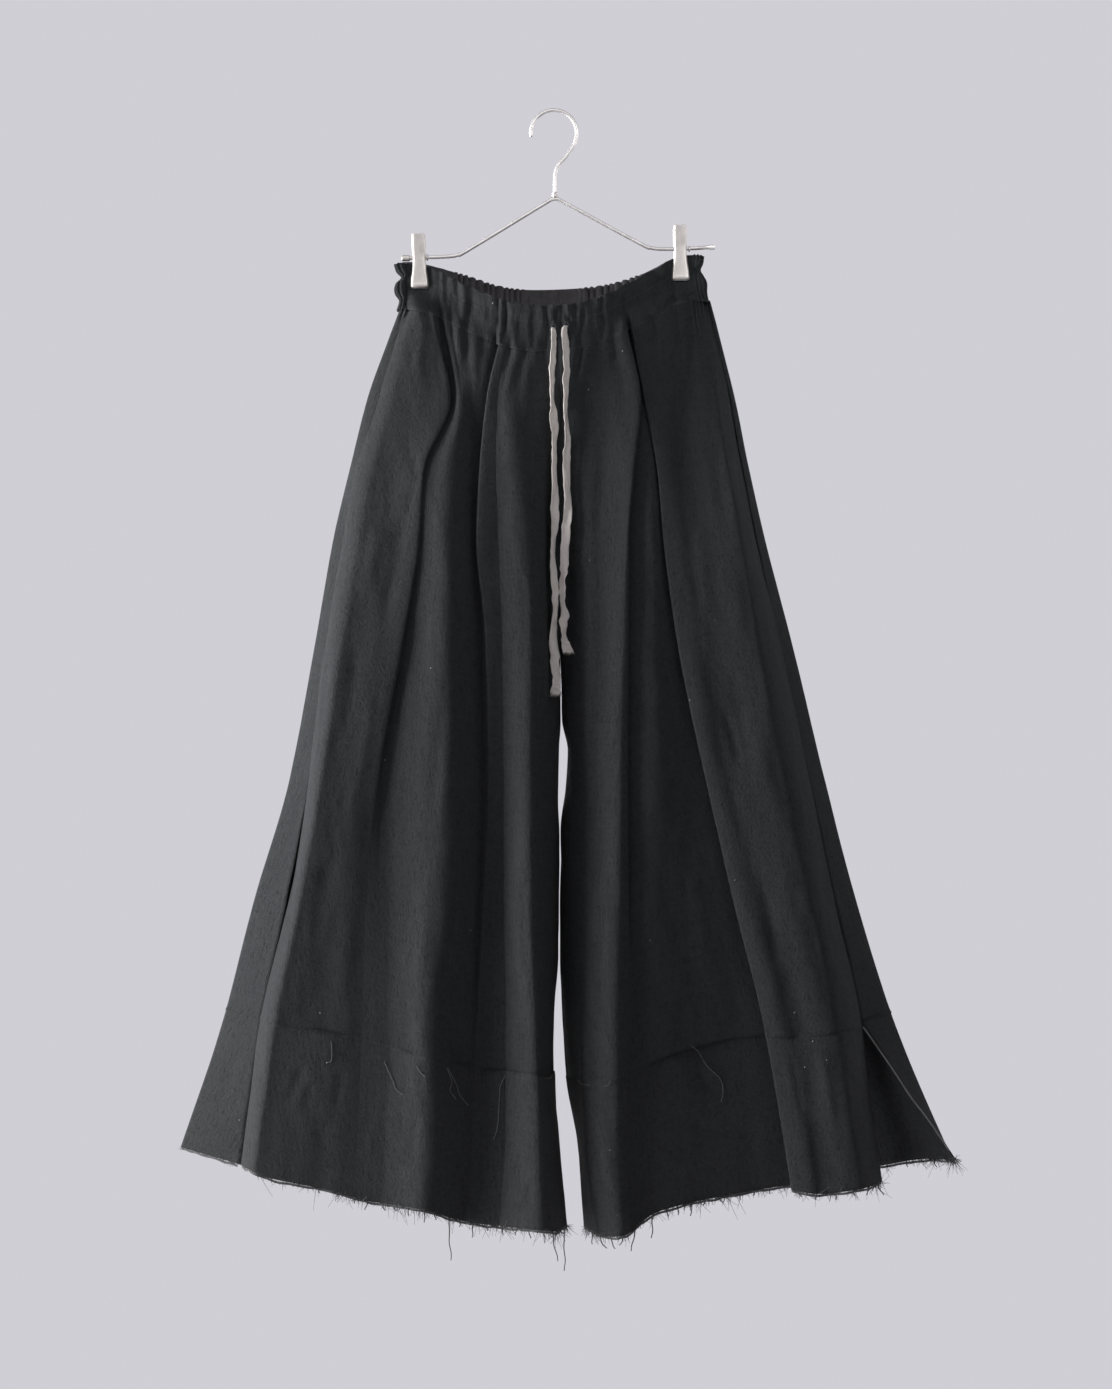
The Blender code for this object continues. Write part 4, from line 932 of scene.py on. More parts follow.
BACK_LEFT = (
    Fold("centre_valley", "soft", 1066, 1215,
         (590, 588, 588, 588, 588, 588, 586, 590, 600, 608), (29, 38, 34, 40, 48)),
    Fold("thigh_ridge", "soft", 1056, 1202,
         (630, 628, 624, 620, 618, 618, 620, 628, 638, 646), (24, 50, 66, 80, 92)),
    Fold("knife_under", "soft", 1050, 1197,
         (652, 654, 656, 658, 660, 666, 676, 690, 704, 714), (12, 38, 44, 50, 56)),
    Fold("knife_inner", "under_left", 1042, 1188,
         (676, 688, 692, 694, 698, 705, 712, 730, 750, 764), (10, 40, 50, 58, 66)),
    Fold("knife_edge", "over_left", 1037, 1183,
         (660, 668, 673, 679, 689, 706, 724, 744, 764, 778), (18, 46, 54, 62, 70)),
    Fold("seat_ridge", "soft", 1026, 1170,
         (690, 702, 710, 720, 738, 766, 792, 820, 846, 864), (12, 48, 62, 76, 88)),
    Fold("outer_valley", "soft", 1020, 1164,
         (702, 716, 728, 742, 764, 796, 824, 854, 886, 908), (8, 30, 40, 46, 52)),
    Fold("outer_ridge", "soft", 1014, 1158,
         (710, 726, 740, 754, 778, 811, 841, 875, 914, 944), (6, 28, 46, 56, 62)),
    Fold("side_turn", "turn_front", 1013, 1160,
         (717.5, 734.5, 748.5, 764.5, 790.5, 824.5, 855.5, 893, 943, 984), (0, 4, 6, 8, 10)),
    FRONT_LEFT[-1]._replace(hem=1157, flare=76.0),
)
print("back folds:", len(BACK_RIGHT), len(BACK_LEFT))

# %% [markdown]
# ## The inner legs
# The rise seam runs down the middle from the waist to the crotch. Below that each leg has an inner
# edge of its own, where its front and back meet, and the cloth is rounded towards it.

# %% Inner legs
# Where each leg's inner edge runs, and how deep the rise seams lie.
INNER_DOWNS = (330, 600, 690, 720, 750, 790, 830, 950, 1020, 1080, 1140, 1230)
INNER_RIGHT = (560.2, 560.1, 559.8, 560.0, 558, 557, 558, 557.6, 553, 553.5, 558, 567)
INNER_LEFT = (559.7, 559.7, 562.4, 563.2, 569, 566.5, 561.4, 561.0, 564, 568, 578, 585)
RISE_DOWNS = (330, 400, 470, 540, 600, 650, 690, 1230)
RISE_FRONT = (-33, -33, -31, -26, -19, -10, 0, 0)
RISE_BACK = (30, 31, 30, 27, 21, 12, 0, 0)
CROTCH_FROM = 590.0
CROTCH_TO = 690.0
RISE_LAP = 7.0
INNER_ROUND = 10.0
INNER_SEAMS = (1075, 1078)
INNER_HEMS = (1224, 1226)

print("crotch mm down:", CROTCH_FROM, "to", CROTCH_TO)

# %% [markdown]
# ## The waistband's tables
# The waistband is a closed ring. Stations across it say how deep its front and back stand and how
# far down their top edges are, because the clips hold the ends up and the middle sags. Other tables
# say where its gathers lie, how its cloth puffs out down its depth, and how its ends bulge.

# %% Waistband tables
# Across the waistband: how deep it stands at its top and bottom edges, front and back, and how
# far down its front and back top edges are.
Station = collections.namedtuple(
    "Station", "across front_top front_foot back_top back_foot front_edge back_edge")
WAIST_STATIONS = rows_of(
    Station,
    (396, 0.0, 0.0, 0.0, 0.0, 266, 266),
    (396, -4.0, -4.0, 4.0, 4.0, 264, 264),
    (404, -4.5, -7.0, 4.5, 7.0, 263, 262),
    (412, -3.2, -10.0, 3.2, 10.0, 264, 262),
    (428, -3.2, -14.0, 3.2, 13.0, 267, 265),
    (440, -8.0, -18.0, 7.0, 16.0, 272, 268),
    (467, -19.0, -24.0, 17.0, 21.0, 286, 276),
    (501, -28.0, -29.5, 25.0, 26.0, 300, 288),
    (530, -32.0, -32.0, 29.0, 29.0, 306, 290.5),
    (575, -33.0, -33.0, 30.0, 30.0, 304.5, 289),
    (606, -29.0, -31.0, 27.0, 28.0, 295, 286),
    (638, -18.0, -25.0, 17.0, 23.0, 278, 276.5),
    (659, -9.0, -19.0, 8.0, 17.0, 267, 266),
    (673, -3.2, -14.0, 3.2, 13.0, 258, 258),
    (688, -3.2, -9.0, 3.2, 9.0, 255, 255),
    (698, -4.5, -7.0, 4.5, 6.0, 255, 255),
    (703, -4.0, -4.0, 4.0, 4.0, 256, 256),
    (703, 0.0, 0.0, 0.0, 0.0, 258, 258),
)
WAISTBAND_DEEP = 46.0
WAIST_RIGHT_SPREAD = 5.5
WAIST_CURVE_STEPS = 12
# Where the valleys between the gathers lie across the band, from end to end.
GATHERS_FRONT = (396, 400, 404.5, 409, 429, 440, 451, 465, 483, 498, 511, 525, 544, 557, 568, 581,
                 596, 612, 630, 652, 671, 689, 692.5, 696, 699.5, 703)
GATHERS_BACK = (396, 400, 405, 410, 429, 442, 455, 467, 479, 492, 506, 521, 538, 559, 578, 591,
                604, 617, 630, 645, 658, 671, 689, 693, 698, 703)
# The clips hold the band flat over the upper part of its depth, and its gathers end this far away.
CLIP_GRIP = 0.5
CLIP_EASE = 6.0
CLIP_PUFF = 0.25
# Down the band: part of its depth, gather height and how far the cloth puffs out.
BandRow = collections.namedtuple("BandRow", "part gather puff")
WAISTBAND_ROWS = rows_of(
    BandRow,
    (0.0, 1.1, 0.6), (0.16, 1.0, 1.4), (0.36, 0.6, -0.8), (0.56, 0.9, 1.2), (0.78, 0.9, 0.3),
    (0.88, 1.0, 0.0), (1.0, 1.1, 0.0),
)
# How far each end of the band bulges out or draws in, down its depth.
END_PARTS = (0, 0.13, 0.26, 0.43, 0.6, 0.78, 1.0)
LEFT_END = (1.0, -1.5, -6.0, 0.5, 0.0, -4.0, -1.0)
RIGHT_END = (0.0, -1.6, -3.4, -0.5, 0.6, 0.0, 0.0)
END_REACH = 13.0
CLIP_SPANS = ((411, 429), (671, 689))
print("waist stations:", len(WAIST_STATIONS), "gathers:", len(GATHERS_FRONT), len(GATHERS_BACK))

# %% [markdown]
# ## From lines to a surface
# A quadratic B-spline passes near each line in turn and rounds the fold between them, so the
# surface is a smooth sheet with soft crests and tight pleat edges. A cloth simulation could drape
# flat panels instead, but its pleats would fall anywhere. Here each one stays where it is drawn.

# %% Spline of a sheet
def sheet_weights(count, at):
    """Each column's share of the lines of a sheet: a quadratic B-spline held at both edges."""
    knots = np.concatenate(([0, 0], np.arange(count - 1), [count - 2, count - 2])).astype(float)
    weights = np.zeros((len(at), len(knots) - 1))
    span = np.clip(np.floor(at).astype(int), 0, count - 3) + 2
    weights[np.arange(len(at)), span] = 1.0
    for degree in (1, 2):
        for k in range(len(knots) - 1 - degree):
            left = knots[k + degree] - knots[k]
            right = knots[k + degree + 1] - knots[k + 1]
            part = (at - knots[k]) / left * weights[:, k] if left else 0.0
            rest = (knots[k + degree + 1] - at) / right * weights[:, k + 1] if right else 0.0
            weights[:, k] = part + rest
    return weights[:, :count]


print("shares of five lines, midway:", sheet_weights(5, np.array([1.5]))[0].tolist())

# %% [markdown]
# ## The lines of a panel
# Every line of a panel is a function of how far down the cloth is. A fold's line is doubled where
# it is a pleat edge, and the doubling fades out where the pleat falls open. The line at the inner
# leg rounds the thigh, and above the crotch it lies flat beside the rise seam.

# %% Panel lines
def waist_foot(across, back):
    """How far down the waistband's lower edge is."""
    inside = WAIST_STATIONS[1:-1]
    edges = [row.back_edge if back else row.front_edge for row in inside]
    return np.interp(across, [row.across for row in inside], edges) + WAISTBAND_DEEP


def inner_lines(right, back):
    """The rise seam and inner-leg edge of one panel, and the line beside it that rounds it."""
    side = -1.0 if right else 1.0
    edge = INNER_RIGHT if right else INNER_LEFT
    rise = RISE_BACK if back else RISE_FRONT
    out = 1.0 if back else -1.0

    def edge_line(down):
        return smooth(INNER_DOWNS, edge, down), smooth(RISE_DOWNS, rise, down)

    def beside_line(down):
        across, depth = edge_line(down)
        turned = ease(CROTCH_FROM, CROTCH_TO, down)
        return across + side * RISE_LAP * (1 - turned), depth + out * INNER_ROUND * turned

    return edge_line, beside_line


def fold_lines(folds, right, back):
    """All lines of a panel from left to right, each with how tightly it is folded."""
    layer = -PLEAT_LAYER if back else PLEAT_LAYER
    lines = []
    for fold in folds:
        sign = 1.0 if fold.kind.startswith("turn") else math.copysign(1.0, layer)
        for offset in FOLD_KINDS[fold.kind]:
            def place(down, fold=fold, rise=offset * PLEAT_LAYER * sign):
                across = smooth(ACROSS_DOWNS, fold.across, down)
                closed = 1 - ease(fold.opens, fold.opens + OPENS_OVER, down)
                return across, smooth(DEPTH_DOWNS, fold.depth, down) + rise * closed
            tight = 0.0 if fold.kind in ("soft", "crease") else 1.0
            lines.append((place, fold.seam, fold.hem, fold.flare, tight))
    leg = 0 if right else 1
    edge_line, beside_line = inner_lines(right, back)
    inner = [(line, INNER_SEAMS[leg], INNER_HEMS[leg], 0.0, 0.0)
             for line in (beside_line, edge_line)]
    return lines + inner if right else inner[::-1] + lines


print("lines of the right front:", len(fold_lines(FRONT_RIGHT, True, False)))

# %% [markdown]
# ## The grid of a panel
# The spline is taken across the lines at each height, and gives the panel's points. At the top the
# points are moved so that the edge follows the foot of the waistband. The columns are spaced partly
# by the cloth's own length, so that flat stretches and tight folds both get enough of them.

# %% Panel grid
TRIALS_PER_LINE = 40
TRIAL_PARTS = (0.15, 0.5, 0.9, 1.8)


def panel_grid(panel, parts, at):
    """Drawing points of a panel: a part is 0 at the waist, 1 at the band seam and 2 at the hem."""
    lines = fold_lines(panel.folds, panel.right, panel.back)
    parts = np.asarray(parts, float)
    controls = np.zeros((len(lines), len(parts), 3))
    for k, (place, seam, hem, flare, _) in enumerate(lines):
        waist = waist_foot(place(np.array([WAIST_SEAM_DOWN]))[0], panel.back)[0] - WAIST_TUCK
        down = np.interp(parts, (0, 1, 2), (waist, seam, hem))
        across, depth = place(down)
        controls[k, :, 0] = across + flare * np.maximum(parts - 1, 0)
        controls[k, :, 1] = down
        controls[k, :, 2] = depth
    grid = np.einsum("uk,kvc->uvc", sheet_weights(len(lines), at), controls)
    if parts[0] == 0:
        wrong = waist_foot(grid[:, :1, 0], panel.back) - WAIST_TUCK - grid[:, :1, 1]
        grid[:, :, 1] += wrong * np.maximum(1 - parts / WAIST_FIT_PART, 0) ** 2
    return grid


def column_places(panel, count):
    """Where the columns stand along the lines: half by the cloth's length, half evenly."""
    lines = fold_lines(panel.folds, panel.right, panel.back)
    trial = np.linspace(0, len(lines) - 2, TRIALS_PER_LINE * len(lines))
    grid = to_world(panel_grid(panel, TRIAL_PARTS, trial))
    step = np.linalg.norm(np.diff(grid, axis=0), axis=2).mean(1)
    share = np.concatenate(([0], np.cumsum(step / step.sum())))
    share = (share + np.linspace(0, 1, len(share))) / 2
    at = np.interp(np.linspace(0, 1, count), share, trial)
    tight = sheet_weights(len(lines), at) @ np.array([line[-1] for line in lines])
    return at, tight


print("a panel's columns are spaced over", TRIALS_PER_LINE, "trial places for each line")

# %% [markdown]
# ## Facing and measuring the cloth
# Creases rise out of the cloth's right side, so that side has to be known at each point. The weave
# needs each point's place in the flat cloth, which is its distance along the rows and columns.

# %% Cloth directions and places
def outward(points, back):
    """Unit directions out of the cloth's right side at each point of a sheet."""
    normal = unit(np.cross(np.gradient(points, axis=0), np.gradient(points, axis=1)))
    return normal if back else -normal


def cloth_places(points):
    """Metres across and down the cloth itself, for the weave."""
    across = np.concatenate([np.zeros((1, points.shape[1])), np.cumsum(
        np.linalg.norm(np.diff(points, axis=0), axis=2), axis=0)])
    down = np.concatenate([np.zeros((points.shape[0], 1)), np.cumsum(
        np.linalg.norm(np.diff(points, axis=1), axis=2), axis=1)], 1)
    across = across - across.mean(0) + across.mean()
    return np.stack([across, np.broadcast_to(down.mean(0), across.shape)], -1)


def sheet_area(points):
    """The area in square metres of a grid of points."""
    a, b = points[1:, :-1] - points[:-1, :-1], points[:-1, 1:] - points[:-1, :-1]
    return float(np.linalg.norm(np.cross(a, b), axis=2).sum())


print("cloth directions and places ready")

# %% [markdown]
# ## Creases set one by one: the right front
# Over the big folds lie smaller ones: gathers that run out below the waistband, drag lines from
# the hips, and a few wrinkles where the hem band was pressed. Each is a row with its own path,
# width and depth, so no two are alike. A minus depth is a ridge.

# %% Right front creases
Crease = collections.namedtuple("Crease", "path wide deep")
CREASES_FRONT_RIGHT = rows_of(
    Crease,
    (((441, 318), (441, 340), (440, 372), (448, 398)), 5.0, 2.6),
    (((452, 316), (452, 345), (460, 380)), 5.0, 1.8),
    (((470, 322), (466, 345), (463, 372), (461, 410)), 5.5, 2.2),
    (((458, 322), (457, 352)), 4.0, -1.2),
    (((478, 326), (481, 362), (478, 420)), 5.0, -1.4),
    (((489, 332), (488, 372)), 4.0, 1.2),
    (((505, 340), (502, 352), (497, 366)), 3.2, 1.6),
    (((519, 345), (516, 375), (511, 396), (506, 430)), 6.0, 2.0),
    (((533, 348), (533, 375), (530, 410)), 4.5, 1.4),
    (((545, 350), (547, 366), (548, 400)), 3.6, 1.6),
    (((425, 316), (421, 350), (412, 386)), 6.0, -1.5),
    (((404, 430), (416, 474), (410, 505), (404, 540)), 5.0, 1.8),
    (((404, 508), (400, 545), (388, 604), (384, 650)), 7.0, 2.2),
    (((382, 520), (374, 560), (366, 610)), 9.0, -1.8),
    (((356, 640), (352, 690), (340, 760)), 7.0, 1.5),
    (((372, 690), (366, 740), (352, 820)), 6.0, -1.2),
    (((330, 850), (322, 900), (312, 960)), 7.0, 1.3),
    (((441, 700), (438, 760), (432, 830)), 6.0, 1.4),
    (((428, 860), (424, 930), (418, 1000)), 6.0, -1.2),
    (((521, 560), (524, 620), (522, 700)), 4.5, 1.3),
    (((497, 640), (495, 720), (497, 800)), 5.0, 1.2),
    (((526, 860), (524, 930), (530, 1000)), 4.0, 1.5),
    (((540, 985), (546, 1030), (549, 1070)), 2.6, 1.4),
    (((302, 1064), (296, 1084), (285, 1104)), 4.5, 1.6),
    (((313, 1080), (308, 1098), (303, 1120)), 4.0, 1.4),
    (((345, 1062), (338, 1092), (334, 1120)), 4.5, 1.2),
    (((375, 1088), (366, 1124), (361, 1160)), 5.0, 1.2),
    (((420, 1110), (413, 1140), (414, 1172)), 4.0, 1.3),
    (((470, 1110), (466, 1150), (470, 1190)), 5.0, -1.2),
    (((508, 1090), (507, 1130), (503, 1168)), 3.5, 1.3),
    (((546, 1090), (552, 1140), (556, 1190)), 3.0, 1.4),
    (((536, 1180), (528, 1196), (533, 1210)), 4.0, 1.2),
)
print("creases of the right front:", len(CREASES_FRONT_RIGHT))

# %% [markdown]
# ## Creases set one by one: the left front
# Here the strongest creases are two ridges near the edge of the box pleat. Most of the others run
# with the folds, and a few on the hem band cross them.

# %% Left front creases
CREASES_FRONT_LEFT = rows_of(
    Crease,
    (((582, 345), (580, 352), (576, 372), (572, 404)), 3.4, 2.4),
    (((570, 346), (570, 372), (571, 400)), 3.4, 1.5),
    (((595, 345), (598, 372), (597, 410)), 5.0, -1.2),
    (((604, 342), (603, 362), (598, 400)), 5.0, 1.8),
    (((618, 332), (614, 350), (611, 372), (608, 400)), 4.0, 2.0),
    (((606, 440), (600, 500), (596, 560)), 6.0, 1.4),
    (((625, 325), (630, 336), (638, 350)), 2.6, 2.0),
    (((655, 318), (660, 340), (656, 366), (648, 392)), 6.0, -3.2),
    (((648, 396), (650, 440), (651, 500), (654, 560), (660, 620)), 7.5, -3.0),
    (((652, 330), (656, 360), (654, 392)), 4.0, 1.4),
    (((684, 310), (688, 345), (690, 392), (684, 440)), 6.0, 2.2),
    (((697, 310), (706, 350), (716, 400)), 6.0, 1.4),
    (((712, 430), (720, 480), (726, 540)), 8.0, 1.6),
    (((700, 520), (704, 580), (712, 640)), 7.0, -1.3),
    (((740, 560), (748, 610), (756, 660)), 7.0, 1.4),
    (((733, 660), (742, 720), (756, 790)), 7.0, 1.5),
    (((770, 740), (784, 800), (796, 850)), 7.0, 1.3),
    (((722, 706), (733, 740), (742, 780)), 4.5, 1.8),
    (((756, 860), (770, 920), (778, 980)), 5.0, 1.3),
    (((806, 900), (820, 960), (828, 1010)), 6.0, 1.2),
    (((596, 700), (594, 780), (590, 860)), 5.0, 1.2),
    (((604, 900), (601, 960), (602, 1020)), 4.5, 1.4),
    (((660, 620), (664, 700), (672, 780)), 6.0, 1.3),
    (((690, 860), (700, 930), (706, 1000)), 6.0, -1.2),
    (((660, 1052), (676, 1062), (692, 1060)), 7.0, -1.8),
    (((696, 1066), (706, 1084), (724, 1096)), 4.5, 1.5),
    (((684, 1120), (706, 1130), (722, 1124)), 5.0, 1.2),
    (((655, 1140), (652, 1170), (656, 1200)), 5.0, 1.0),
    (((792, 1052), (798, 1090), (806, 1130)), 4.5, 1.5),
    (((822, 1046), (828, 1090), (836, 1140)), 5.0, -1.3),
    (((848, 1060), (856, 1100), (860, 1140)), 4.0, 1.2),
    (((600, 1100), (606, 1150), (610, 1200)), 5.0, -1.2),
)
print("creases of the left front:", len(CREASES_FRONT_LEFT))

# %% [markdown]
# ## Creases set one by one: the waistband and the back
# On the front of the waistband the creases run down to the seam, and most of them carry on in a
# crease of the leg below. The back has fewer, and they are set in other places.

# %% Waistband and back creases
CREASES_BAND_FRONT = rows_of(
    Crease,
    (((431, 296), (434, 311), (440, 332)), 5.0, 2.2),
    (((453, 289), (452, 304), (451, 322)), 3.0, 1.6),
    (((473, 291), (469.5, 309), (466, 330)), 3.6, 1.9),
    (((483, 298), (484, 314), (482, 338)), 5.0, -1.4),
    (((509, 302), (505, 325), (501.5, 348)), 2.8, 2.4),
    (((521, 310), (519, 330), (518, 352)), 3.4, 1.3),
    (((533, 306), (532, 324), (533, 352)), 2.8, 1.6),
    (((545, 308), (549, 329), (547, 352)), 2.4, 1.8),
    (((556, 308), (556, 318)), 2.4, 1.8),
    (((564, 306), (570, 326), (570.5, 352)), 2.6, 2.0),
    (((579.5, 300), (583, 314), (581, 331), (577.5, 350)), 3.0, 2.6),
    (((594, 297), (599, 312), (601, 322)), 3.2, 1.5),
    (((590, 302), (590, 324), (593, 344)), 4.5, -1.3),
    (((606, 312), (604, 328), (602, 346)), 3.0, 1.8),
    (((617, 300), (618, 325), (613.5, 344)), 3.0, 1.8),
    (((619, 288), (625, 318), (634, 336)), 2.6, 2.4),
    (((645, 286), (654, 312), (659, 336)), 5.0, -2.2),
    (((671, 290), (679, 308), (685, 326)), 4.5, 2.2),
    (((662, 276), (668, 290), (676, 306)), 3.4, 1.2),
)
CREASES_BACK_RIGHT = rows_of(
    Crease,
    (((440, 316), (442, 350), (438, 392)), 5.0, 2.2),
    (((470, 326), (468, 360), (462, 410)), 5.0, 1.8),
    (((505, 336), (503, 378), (508, 430)), 5.5, 2.0),
    (((538, 340), (535, 372), (532, 410)), 4.0, 1.6),
    (((412, 330), (408, 380), (398, 440)), 6.0, -1.6),
    (((392, 470), (384, 540), (374, 610)), 8.0, 1.8),
    (((424, 560), (420, 640), (410, 720)), 8.0, -1.6),
    (((520, 600), (516, 680), (520, 760)), 6.0, 1.5),
    (((350, 720), (336, 800), (322, 880)), 7.0, 1.5),
    (((486, 820), (480, 900), (474, 980)), 6.0, -1.4),
    (((300, 900), (286, 960), (276, 1008)), 6.0, 1.4),
    (((410, 940), (402, 1000), (398, 1034)), 5.0, 1.3),
    (((240, 1040), (228, 1080), (216, 1120)), 5.0, 1.4),
    (((330, 1050), (324, 1090), (314, 1130)), 5.0, -1.2),
    (((456, 1080), (450, 1120), (448, 1160)), 4.5, 1.4),
)
CREASES_BACK_LEFT = rows_of(
    Crease,
    (((575, 340), (580, 372), (584, 404)), 4.0, 1.8),
    (((604, 336), (606, 380), (600, 424)), 5.0, 2.0),
    (((646, 322), (650, 360), (656, 412)), 5.0, 1.7),
    (((684, 312), (690, 352), (700, 396)), 5.0, 2.0),
    (((622, 470), (616, 540), (612, 620)), 7.0, -1.6),
    (((700, 500), (710, 560), (722, 620)), 7.0, 1.6),
    (((590, 640), (594, 720), (592, 800)), 5.0, 1.4),
    (((744, 680), (758, 750), (772, 820)), 7.0, 1.6),
    (((644, 760), (650, 840), (656, 920)), 6.0, 1.3),
    (((800, 860), (820, 930), (838, 1000)), 7.0, -1.4),
    (((690, 960), (700, 1010), (706, 1040)), 5.0, 1.4),
    (((620, 1080), (626, 1130), (636, 1176)), 5.0, 1.3),
    (((780, 1050), (790, 1100), (800, 1140)), 5.0, -1.2),
    (((890, 1040), (906, 1080), (924, 1120)), 5.0, 1.4),
)
print("waistband creases:", len(CREASES_BAND_FRONT),
      "back creases:", len(CREASES_BACK_RIGHT), len(CREASES_BACK_LEFT))

# %% [markdown]
# ## How a crease fades
# A crease is deepest along its path and soft to both sides. A free one tapers at both ends. One
# that leaves the band seam is full there and fades below, and one on the waistband fades in from
# the top and is full at the seam.

# %% Crease heights
CREASE_STEPS = 24
FREE_BELOW = 352
FREE_FADES = (0.25, 0.6)
SEAM_FADE = 0.5
BAND_FADE = 0.35


def crease_strength(crease, along, on_band):
    """How full a crease is along its path, from 0 to 1."""
    if on_band:
        return ease(0.0, BAND_FADE, along)
    if crease.path[0][1] > FREE_BELOW:
        return ease(0.0, FREE_FADES[0], along) * (1 - ease(FREE_FADES[1], 1.0, along))
    return 1 - ease(SEAM_FADE, 1.0, along)


def crease_height(grid, creases, on_band=False):
    """How far each drawing point moves out for the listed creases."""
    height = np.zeros(grid.shape[:2])
    for crease in creases:
        path = smooth_route(crease.path, CREASE_STEPS)
        off = grid[:, :, None, :2] - path
        far = np.hypot(off[..., 0], off[..., 1])
        near = far.argmin(2)
        away = np.take_along_axis(far, near[..., None], 2)[..., 0] / crease.wide
        strength = crease_strength(crease, near / (len(path) - 1), on_band)
        height -= crease.deep * np.exp(-away**2) * strength
    return height


print("points on each crease:", CREASE_STEPS)

# %% [markdown]
# ## Gathers and crinkles
# Each gather of the waistband runs out in the leg below as a groove, some after a finger's width
# and some after a hand's. Under the creases the legs and hem bands have a faint random crinkle, as
# linen has after washing.

# %% Gathers and crinkles
TUCK_DEEP = 0.15
GATHER_DEEP = 1.7
# How far down the groove below each gather runs.
GATHER_FADES = (26, 30, 28, 34, 48, 70, 96, 58, 84, 46, 66, 104, 52, 40, 60, 74, 58, 112, 48, 66,
                92, 80, 64, 40, 30, 28, 24, 26)
GATHER_RUN = 1.3
GATHER_IN_PLEATS = 0.6
CREST_BROAD = 0.8
SEAM_CALM = (-2, 22)
Crumple = collections.namedtuple("Crumple", "wide long high")
CRUMPLES = rows_of(Crumple, (52.0, 190.0, 1.5), (19.0, 64.0, 0.75), (8.5, 26.0, 0.34))
CRUMPLE_BEND = 0.5
BEND_SEED = 50


def gather_wave(turns):
    """-1 in each valley and 1 on each crest, with the valleys sharper than the crests."""
    crest = np.abs(np.sin(turns * math.pi))
    return 0.5 * (2 * crest**CREST_BROAD - 1) - 0.5 * np.cos(turns * 2 * math.pi)


def gather_turns(across, back):
    """How far along the row of gathers each place is: a whole number in each valley."""
    gathers = GATHERS_BACK if back else GATHERS_FRONT
    return np.interp(across, gathers, np.arange(len(gathers)))


def crinkled(height, across, down, seed):
    """Adds random crinkles of three sizes, each bent a little so that none lies straight."""
    for k, crumple in enumerate(CRUMPLES):
        sideways = patches(across, down, crumple.long, crumple.long, seed + BEND_SEED + k)
        bent = across + crumple.wide * CRUMPLE_BEND * sideways
        height += crumple.high * patches(bent, down, crumple.wide, crumple.long, seed + k)
    return height


def gathered(height, grid, panel, tight):
    """Calms the creases at the waist seam, and adds the grooves of the gathers below it."""
    turns = gather_turns(grid[:, 0, 0], panel.back)
    fades = np.interp(turns, np.arange(len(GATHER_FADES)), GATHER_FADES)[:, None]
    below = grid[:, :, 1] - grid[:, :1, 1]
    swell = (1 - ease(0, 1, below / fades)) ** GATHER_RUN
    height *= ease(*SEAM_CALM, below)
    height -= TUCK_DEEP * (1 - ease(0, WAIST_TUCK, below))
    height += (GATHER_DEEP * gather_wave(turns)[:, None] * swell
               * (1 - GATHER_IN_PLEATS * tight[:, None]))
    return height


print("sizes of crinkle:", len(CRUMPLES), "gather depth mm:", GATHER_DEEP)

# %% [markdown]
# ## One surface from all of them
# The heights are added up: first the listed creases, then the crinkles, and on the legs the
# gathers. Then each point moves that far out along the cloth's own normal. A displacement texture
# could do the same, but here the stitches and the fringes can follow the finished points.

# %% Finished surface
QUIET_IN_PLEATS = 0.75


def finish_surface(grid, panel, tight, seed, waist):
    """Adds creases, crinkles and gathers to a drawn panel, and returns its points in metres."""
    points = to_world(grid)
    places = cloth_places(points)
    height = crease_height(grid, panel.creases)
    height = crinkled(height, places[..., 0] / MM, places[..., 1] / MM, seed)
    height *= 1 - QUIET_IN_PLEATS * tight[:, None]
    if waist:
        height = gathered(height, grid, panel, tight)
    return points + outward(points, panel.back) * height[..., None] * MM, places


print("share of creases left in tight pleats:", 1 - QUIET_IN_PLEATS)

# %% [markdown]
# ## The four panels
# Each leg has a front and a back panel, and a separate band sewn on below. The table holds how each
# is cut in the flat, wide and long in metres, and how many columns and rows of points draw it.

# %% Panels
Panel = collections.namedtuple(
    "Panel", "name folds right back creases columns rows band_rows cut band")
PANELS = rows_of(
    Panel,
    ("front_right", FRONT_RIGHT, True, False, CREASES_FRONT_RIGHT, 190, 220, 44,
     (0.40, 0.75), (0.437, 0.15)),
    ("front_left", FRONT_LEFT, False, False, CREASES_FRONT_LEFT, 190, 220, 44,
     (0.436, 0.76), (0.455, 0.155)),
    ("back_right", BACK_RIGHT, True, True, CREASES_BACK_RIGHT, 140, 180, 38,
     (0.453, 0.75), (0.54, 0.15)),
    ("back_left", BACK_LEFT, False, True, CREASES_BACK_LEFT, 140, 180, 38,
     (0.453, 0.75), (0.492, 0.155)),
)
PANEL_SEED, PANEL_SEED_STEP = 100, 10
print("panels:", [panel.name for panel in PANELS])

# %% [markdown]
# ## From a sheet to cloth
# Solidify gives each sheet a small thickness, half to each side. The area that it has as it hangs
# is worked out too.

# %% Cloth from a sheet
SHELL = 1.1


def add_shell(piece, thick):
    """Solidify gives the sheet the thickness of the cloth."""
    wall = piece.modifiers.new("shell", "SOLIDIFY")
    wall.thickness = thick * MM
    wall.offset = 0.0
    wall.use_even_offset = False


def make_cloth(name, points, places, panel, material, node_name):
    """One sheet of a panel as a hung piece of cloth. Returns its area."""
    piece = make_piece(name, points, grid_faces(*points.shape[:2], panel.back),
                       places.reshape(-1, 2), material, "linen_black", (node_name,))
    add_shell(piece, SHELL)
    area = round(sheet_area(points), 3)
    return area


print("cloth thickness mm:", SHELL)

